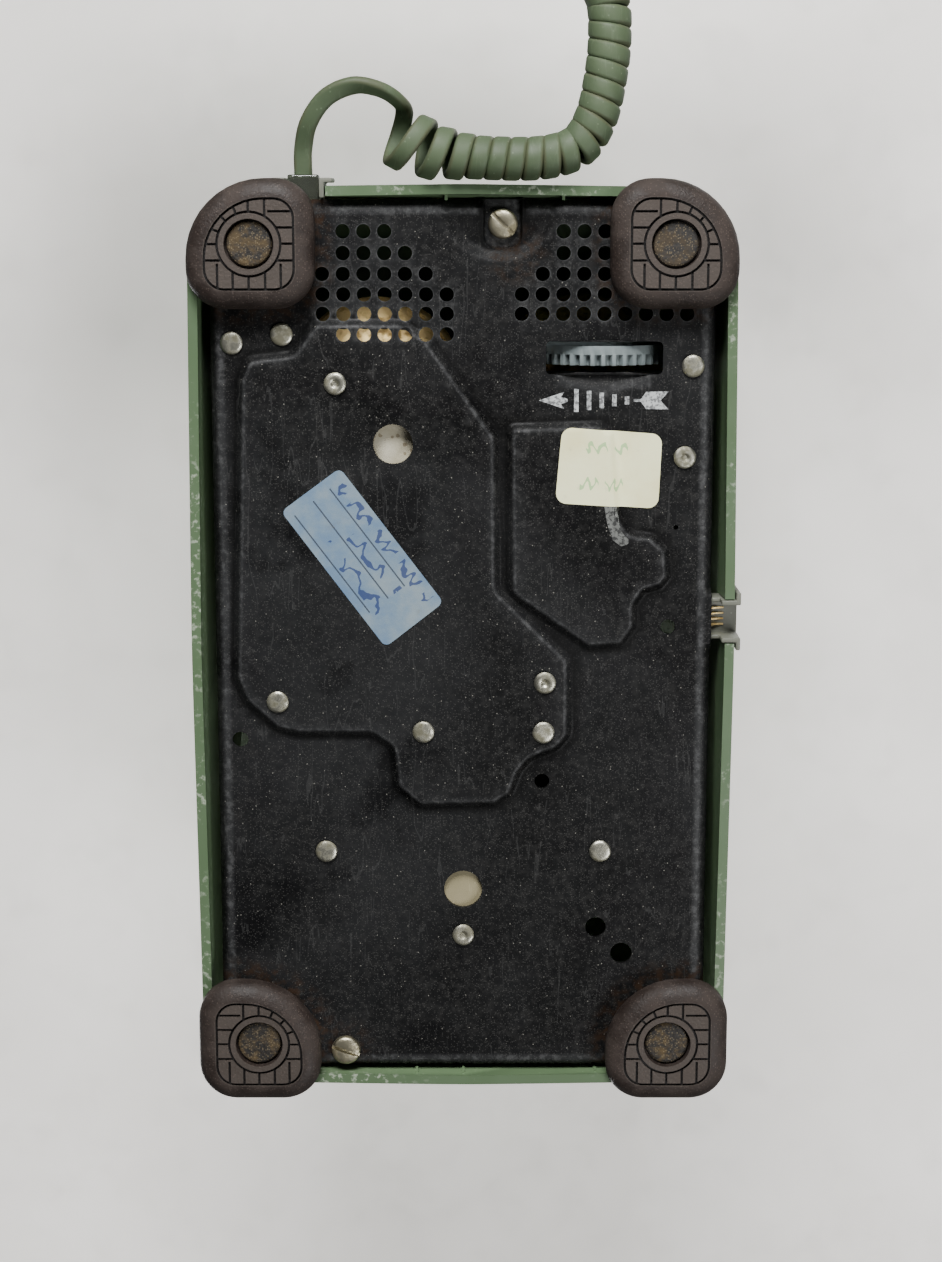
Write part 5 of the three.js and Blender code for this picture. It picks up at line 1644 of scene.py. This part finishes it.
wheel_profile = [(0, -1.2), (36.4, -1.2), (37, -0.7), (37, 0.1), (36.6, 0.5), (36, 0.6), (0, 0.6)]
wheel = dial_piece("finger_wheel_clear", turned(wheel_profile, 128))
hole_places = [(HOLE_CIRCLE * math.sin(a), HOLE_CIRCLE * math.cos(a)) for a in HOLE_ANGLES]
carve(wheel, [dial_cutter(x, y, 6.6) for x, y in hole_places] + [dial_cutter(0, 0, 3.4)])
bevelled(wheel, 0.35, 3, 50)
settle(wheel, "finger_wheel", CLEAR, "clear_plastic", "finger_wheel")

card_profile = [(0, 1.1), (17, 1.1), (17, 1.9), (16.6, 2.4)]
card_profile += [(15.9, 2.6), (15.2, 2.3), (14.9, 2.05), (0, 2.05)]
card = dial_piece("dial_card_disc", turned(card_profile, 96))
settle(card, "finger_wheel", IVORY, "card_paper", "dial_card")


def printed(text, size, x, y, t, thickness=0.12):
    """A number as a thin raised print in the dial frame."""
    curve = bpy.data.curves.new("number", "FONT")
    curve.body = text
    curve.size = size
    curve.align_x = "CENTER"
    curve.align_y = "CENTER"
    curve.extrude = thickness / 2
    curve.resolution_u = 4
    source = bpy.data.objects.new("number", curve)
    bpy.context.collection.objects.link(source)
    graph = bpy.context.evaluated_depsgraph_get()
    mesh = bpy.data.meshes.new_from_object(source.evaluated_get(graph))
    verts = [(x + v.co.x, y + v.co.y, t + v.co.z) for v in mesh.vertices]
    faces = [tuple(face.vertices) for face in mesh.polygons]
    bpy.data.objects.remove(source)
    return verts, faces


def make_numbers():
    """The ten numbers on the ring, and a dot under the middle of each finger hole."""
    parts = []
    for k, angle in enumerate(HOLE_ANGLES):
        x, y = NUMBER_CIRCLE * math.sin(angle), NUMBER_CIRCLE * math.cos(angle)
        parts.append(printed(str((k + 1) % 10), NUMBER_SIZE, x, y, 1.03))
        dot = [(0, -2.02), (1.1, -2.02), (1.1, -1.92), (0, -1.92)]
        parts.append(turned(dot, 20, (*hole_places[k], 0)))
    return dial_piece("dial_numbers", joined(parts))


settle(make_numbers(), "base", IVORY, "card_paper")


def make_stop():
    """A flat bar that reaches over the wheel's edge, between the numbers 0 and 1."""
    finger, root = [(-2.2, 27, 2), (2.2, 27, 2)], [(3.4, 44, 3), (5, 50, 2.5), (-4, 50, 2.5), (-3, 42, 3)]
    turn = Matrix.Rotation(math.radians(-112), 2)
    bar = prism([turn @ p for p in rounded(finger + root, 10)], 1.3, 2.6)
    return bevelled(dial_piece("finger_stop_bar", bar), 0.45, 3)


settle(make_stop(), "base", STEEL, "frame_steel", "finger_stop")

button = [(0, 84), (1.9, 84), (2.7, 84.35), (3.2, 85.1), (3.2, 99.6), (2.9, 100.5), (2.1, 100.9), (0, 101)]
for side_name in ("left", "right"):
    spot = middle(f"plunger_{side_name}")
    plunger = turned_piece(f"plunger_{side_name}_turned", button, (spot.x, spot.y, 0), 40)
    settle(plunger, f"plunger_{side_name}", CLEAR, "clear_plastic", f"plunger_{side_name}")
print("dial and plungers made")

# %% [markdown]
# ## Handset
#
# The handset lies on the floor behind the set, on its two caps. Cups and handle are one moulding with no
# sharp edge anywhere. The caps screw on, so they stay separate, with their own sound holes.

# %% Handset
HANDSET = (8, 196)
CUP_SPREAD = 80
HANDLE_SIDE = [
    (92, 20, 6),
    (86, 45, 18),
    (50, 59, 60),
    (-50, 59, 60),
    (-86, 45, 18),
    (-92, 20, 6),
    (-58, 20, 4),
    (-50, 37, 20),
    (50, 37, 20),
    (58, 20, 4),
]


def handset_piece(name, shape):
    verts, faces = shape
    return new_piece(name, [(x + HANDSET[0], y + HANDSET[1], z) for x, y, z in verts], faces)


def handset_turned(name, profile, x, sides=96):
    return handset_piece(name, turned(profile, sides, (x, 0, 0)))


def make_handset_shell():
    cup = [(0, 10), (27.2, 10), (27.2, 23), (26.8, 27), (25.5, 31)]
    cup += [(23.4, 35), (20, 38.8), (15, 41.9), (8, 43.7), (0, 44)]
    shell = handset_piece("handset_moulding", prism(rounded(HANDLE_SIDE, 6), -12, 12, "y"))
    section = rounded([(-12, 10, 0), (12, 10, 0), (12, 60, 9), (-12, 60, 9)], 8)
    carve(shell, [handset_piece("section", prism(section, -120, 120, "x"))], "INTERSECT")
    carve(shell, [handset_turned("cup", cup, s * CUP_SPREAD) for s in (1, -1)], "UNION")
    soft_skin(shell, 1.1, 10)
    cutters = [handset_piece("under", block((-150, -50, -10), (150, 50, 16.3)))]
    cavity = [(0, 5), (24, 5), (24, 27), (0, 27)]
    cutters += [handset_turned("cavity", cavity, s * CUP_SPREAD) for s in (1, -1)]
    cutters.append(handset_piece("socket", block((CUP_SPREAD + 13, -4.2, 29), (150, 4.2, 34.2))))
    carve(shell, cutters)
    shade(shell, 32)
    return settle(shell, "handset", GREEN, "housing_plastic", "handset_shell")


def make_cap(name, x, rings):
    profile = [
        (0, 0),
        (22, 0.0),
        (24.5, 0.25),
        (26.4, 1.0),
        (27.5, 2.3),
        (28, 4.2),
        (28, 15.2),
        (27.6, 15.9),
        (27.2, 16),
        (25.4, 16),
        (25.4, 2.5),
        (0, 2.5),
    ]
    cap = handset_turned(f"{name}_turned", profile, x, 112)
    cutters = []
    hole = [(0, -1), (1.9, -1), (1.3, 0.3), (1.3, 4), (0, 4)]
    flute = [(0, 5), (0.5, 5), (0.5, 14.5), (0, 14.5)]
    for radius, count in rings:
        for spot in circle(x, 0, radius, count):
            cutters.append(handset_piece("hole", turned(hole, 20, (*spot, 0))))
    for spot in circle(x, 0, 28.2, 36):
        cutters.append(handset_piece("flute", turned(flute, 8, (*spot, 0))))
    carve(cap, cutters)
    shade(cap, 35)
    return settle(cap, "handset", GREEN, "housing_plastic", name)


make_handset_shell()
make_cap("transmitter_cap", CUP_SPREAD, [(12, 6), (5, 3)])
make_cap("receiver_cap", -CUP_SPREAD, [(6, 5)])
print("handset made")

# %% [markdown]
# ## Inside pieces
#
# Only glimpses of the inside show, through the louvers and the jack. Their CAD shapes are good enough, so
# they only take their real finishes.

# %% Finishes for the inside
INSIDE = {
    BOARD: ["network_board"],
    KHAKI: ["network_can", "dial_body", "dial_bracket"],
    STEEL: ["ringer_frame", "hook_bracket", "hook_lever", "dial_shaft", "transmitter_unit", "receiver_unit"],
    ZINC: ["gong_screw_large", "gong_screw_small"],
    WINDING: ["ringer_coil"],
    BRASS: ["clapper", "contact_springs"],
}
for finish, nodes in INSIDE.items():
    for node in nodes:
        kept = bpy.data.objects[node]
        kept.data.materials.clear()
        kept.data.materials.append(finish)
print("inside finishes:", sum(len(nodes) for nodes in INSIDE.values()), "nodes")

# %% [markdown]
# ## Stage
#
# The set stands on a plain pale floor. The camera looks up through it, as through a glass table, with an
# even pale wall far above. So the floor shows only to a camera above it, and the upper backdrop only to a
# camera below it.


# %% Floor, backdrop and lights
def pale_surface(name, seen_from, glow_strength, steepest=2.0):
    """A mottled pale board that only shows to a camera on one side of it."""
    material = bpy.data.materials.new(name)
    material.use_nodes = True
    tree = material.node_tree
    tree.nodes.clear()
    fade = effect(tree, BLOTCHES, Scale=14.0, Low=0.35, High=0.7)
    fine = effect(tree, BLOTCHES, Scale=70.0, Low=0.45, High=0.75)
    color = mix(tree, fade, (0.75, 0.725, 0.695, 1), (0.815, 0.79, 0.76, 1))
    color = over(tree, color, fine, 0.5, (0.66, 0.64, 0.61))
    diffuse = add(tree, "ShaderNodeBsdfDiffuse", {"Color": color})
    glow = add(tree, "ShaderNodeEmission", {"Color": color, "Strength": glow_strength})
    board = add(tree, "ShaderNodeAddShader", {0: diffuse.outputs[0], 1: glow.outputs[0]})
    clear = add(tree, "ShaderNodeBsdfTransparent")
    camera_ray = add(tree, "ShaderNodeLightPath").outputs["Is Camera Ray"]
    behind = add(tree, "ShaderNodeNewGeometry").outputs["Backfacing"]
    front = maths(tree, "SUBTRACT", 1.0, behind) if seen_from == "front" else behind
    slant = add(tree, "ShaderNodeLayerWeight").outputs["Facing"]
    steep = maths(tree, "LESS_THAN", slant, steepest)
    shown = maths(tree, "MULTIPLY", maths(tree, "MULTIPLY", camera_ray, front), steep)
    choice = add(tree, "ShaderNodeMixShader", {0: shown})
    tree.links.new(clear.outputs[0], choice.inputs[1])
    tree.links.new(board.outputs[0], choice.inputs[2])
    end = add(tree, "ShaderNodeOutputMaterial")
    tree.links.new(choice.outputs[0], end.inputs["Surface"])
    return material


def plane(name, lower, upper, height, material):
    mesh = bpy.data.meshes.new(name)
    corners = [(lower[0], lower[1]), (upper[0], lower[1]), (upper[0], upper[1]), (lower[0], upper[1])]
    mesh.from_pydata([(x, y, height) for x, y in corners], [], [(0, 1, 2, 3)])
    mesh.materials.append(material)
    made = bpy.data.objects.new(name, mesh)
    bpy.context.collection.objects.link(made)
    return made


def area_light(name, where, aim, size, power, tint=(1, 1, 1)):
    data = bpy.data.lights.new(name, "AREA")
    data.size = size
    data.energy = power
    data.color = tint
    light = bpy.data.objects.new(name, data)
    light.location = where
    light.rotation_euler = (Vector(aim) - Vector(where)).to_track_quat("-Z", "Y").to_euler()
    bpy.context.collection.objects.link(light)
    return light


BELOW_FEET = -0.0002
plane("floor", (-40, -40), (40, 40), BELOW_FEET, pale_surface("pale_floor", "front", 0.42))
pale_backdrop = pale_surface("pale_backdrop", "back", 0.75, steepest=0.5)
plane("upper_backdrop", (-0.55, -0.5), (0.55, 0.6), 0.135, pale_backdrop)
area_light("key_below", (0.05, 0.70, -0.55), (0, 0.05, 0), 0.4, 16)
area_light("fill_below", (-0.55, -0.45, -0.75), (0, 0, 0), 0.5, 6.5)
area_light("key_above", (0.5, -0.6, 0.95), (0, 0.05, 0.05), 0.4, 20)
area_light("fill_above", (-0.7, 0.5, 0.9), (0, 0.05, 0.05), 0.9, 7)


def pale_room():
    """Pale above and dim below, so that the dark plate has little to reflect."""
    world = bpy.data.worlds.new("pale_room")
    bpy.context.scene.world = world
    world.use_nodes = True
    tree = world.node_tree
    background = tree.nodes["Background"]
    where = add(tree, "ShaderNodeTexCoord").outputs["Generated"]
    rise = add(tree, "ShaderNodeSeparateXYZ", {0: where}).outputs["Z"]
    light = ramp(tree, rise, -0.25, 0.3, 0.07, 0.32)
    seen = add(tree, "ShaderNodeLightPath").outputs["Is Camera Ray"]
    strength = maths(tree, "MAXIMUM", light, maths(tree, "MULTIPLY", seen, 0.60))
    tree.links.new(strength, background.inputs["Strength"])
    background.inputs["Color"].default_value = (0.93, 0.93, 0.92, 1)


pale_room()
print("stage and lights set")
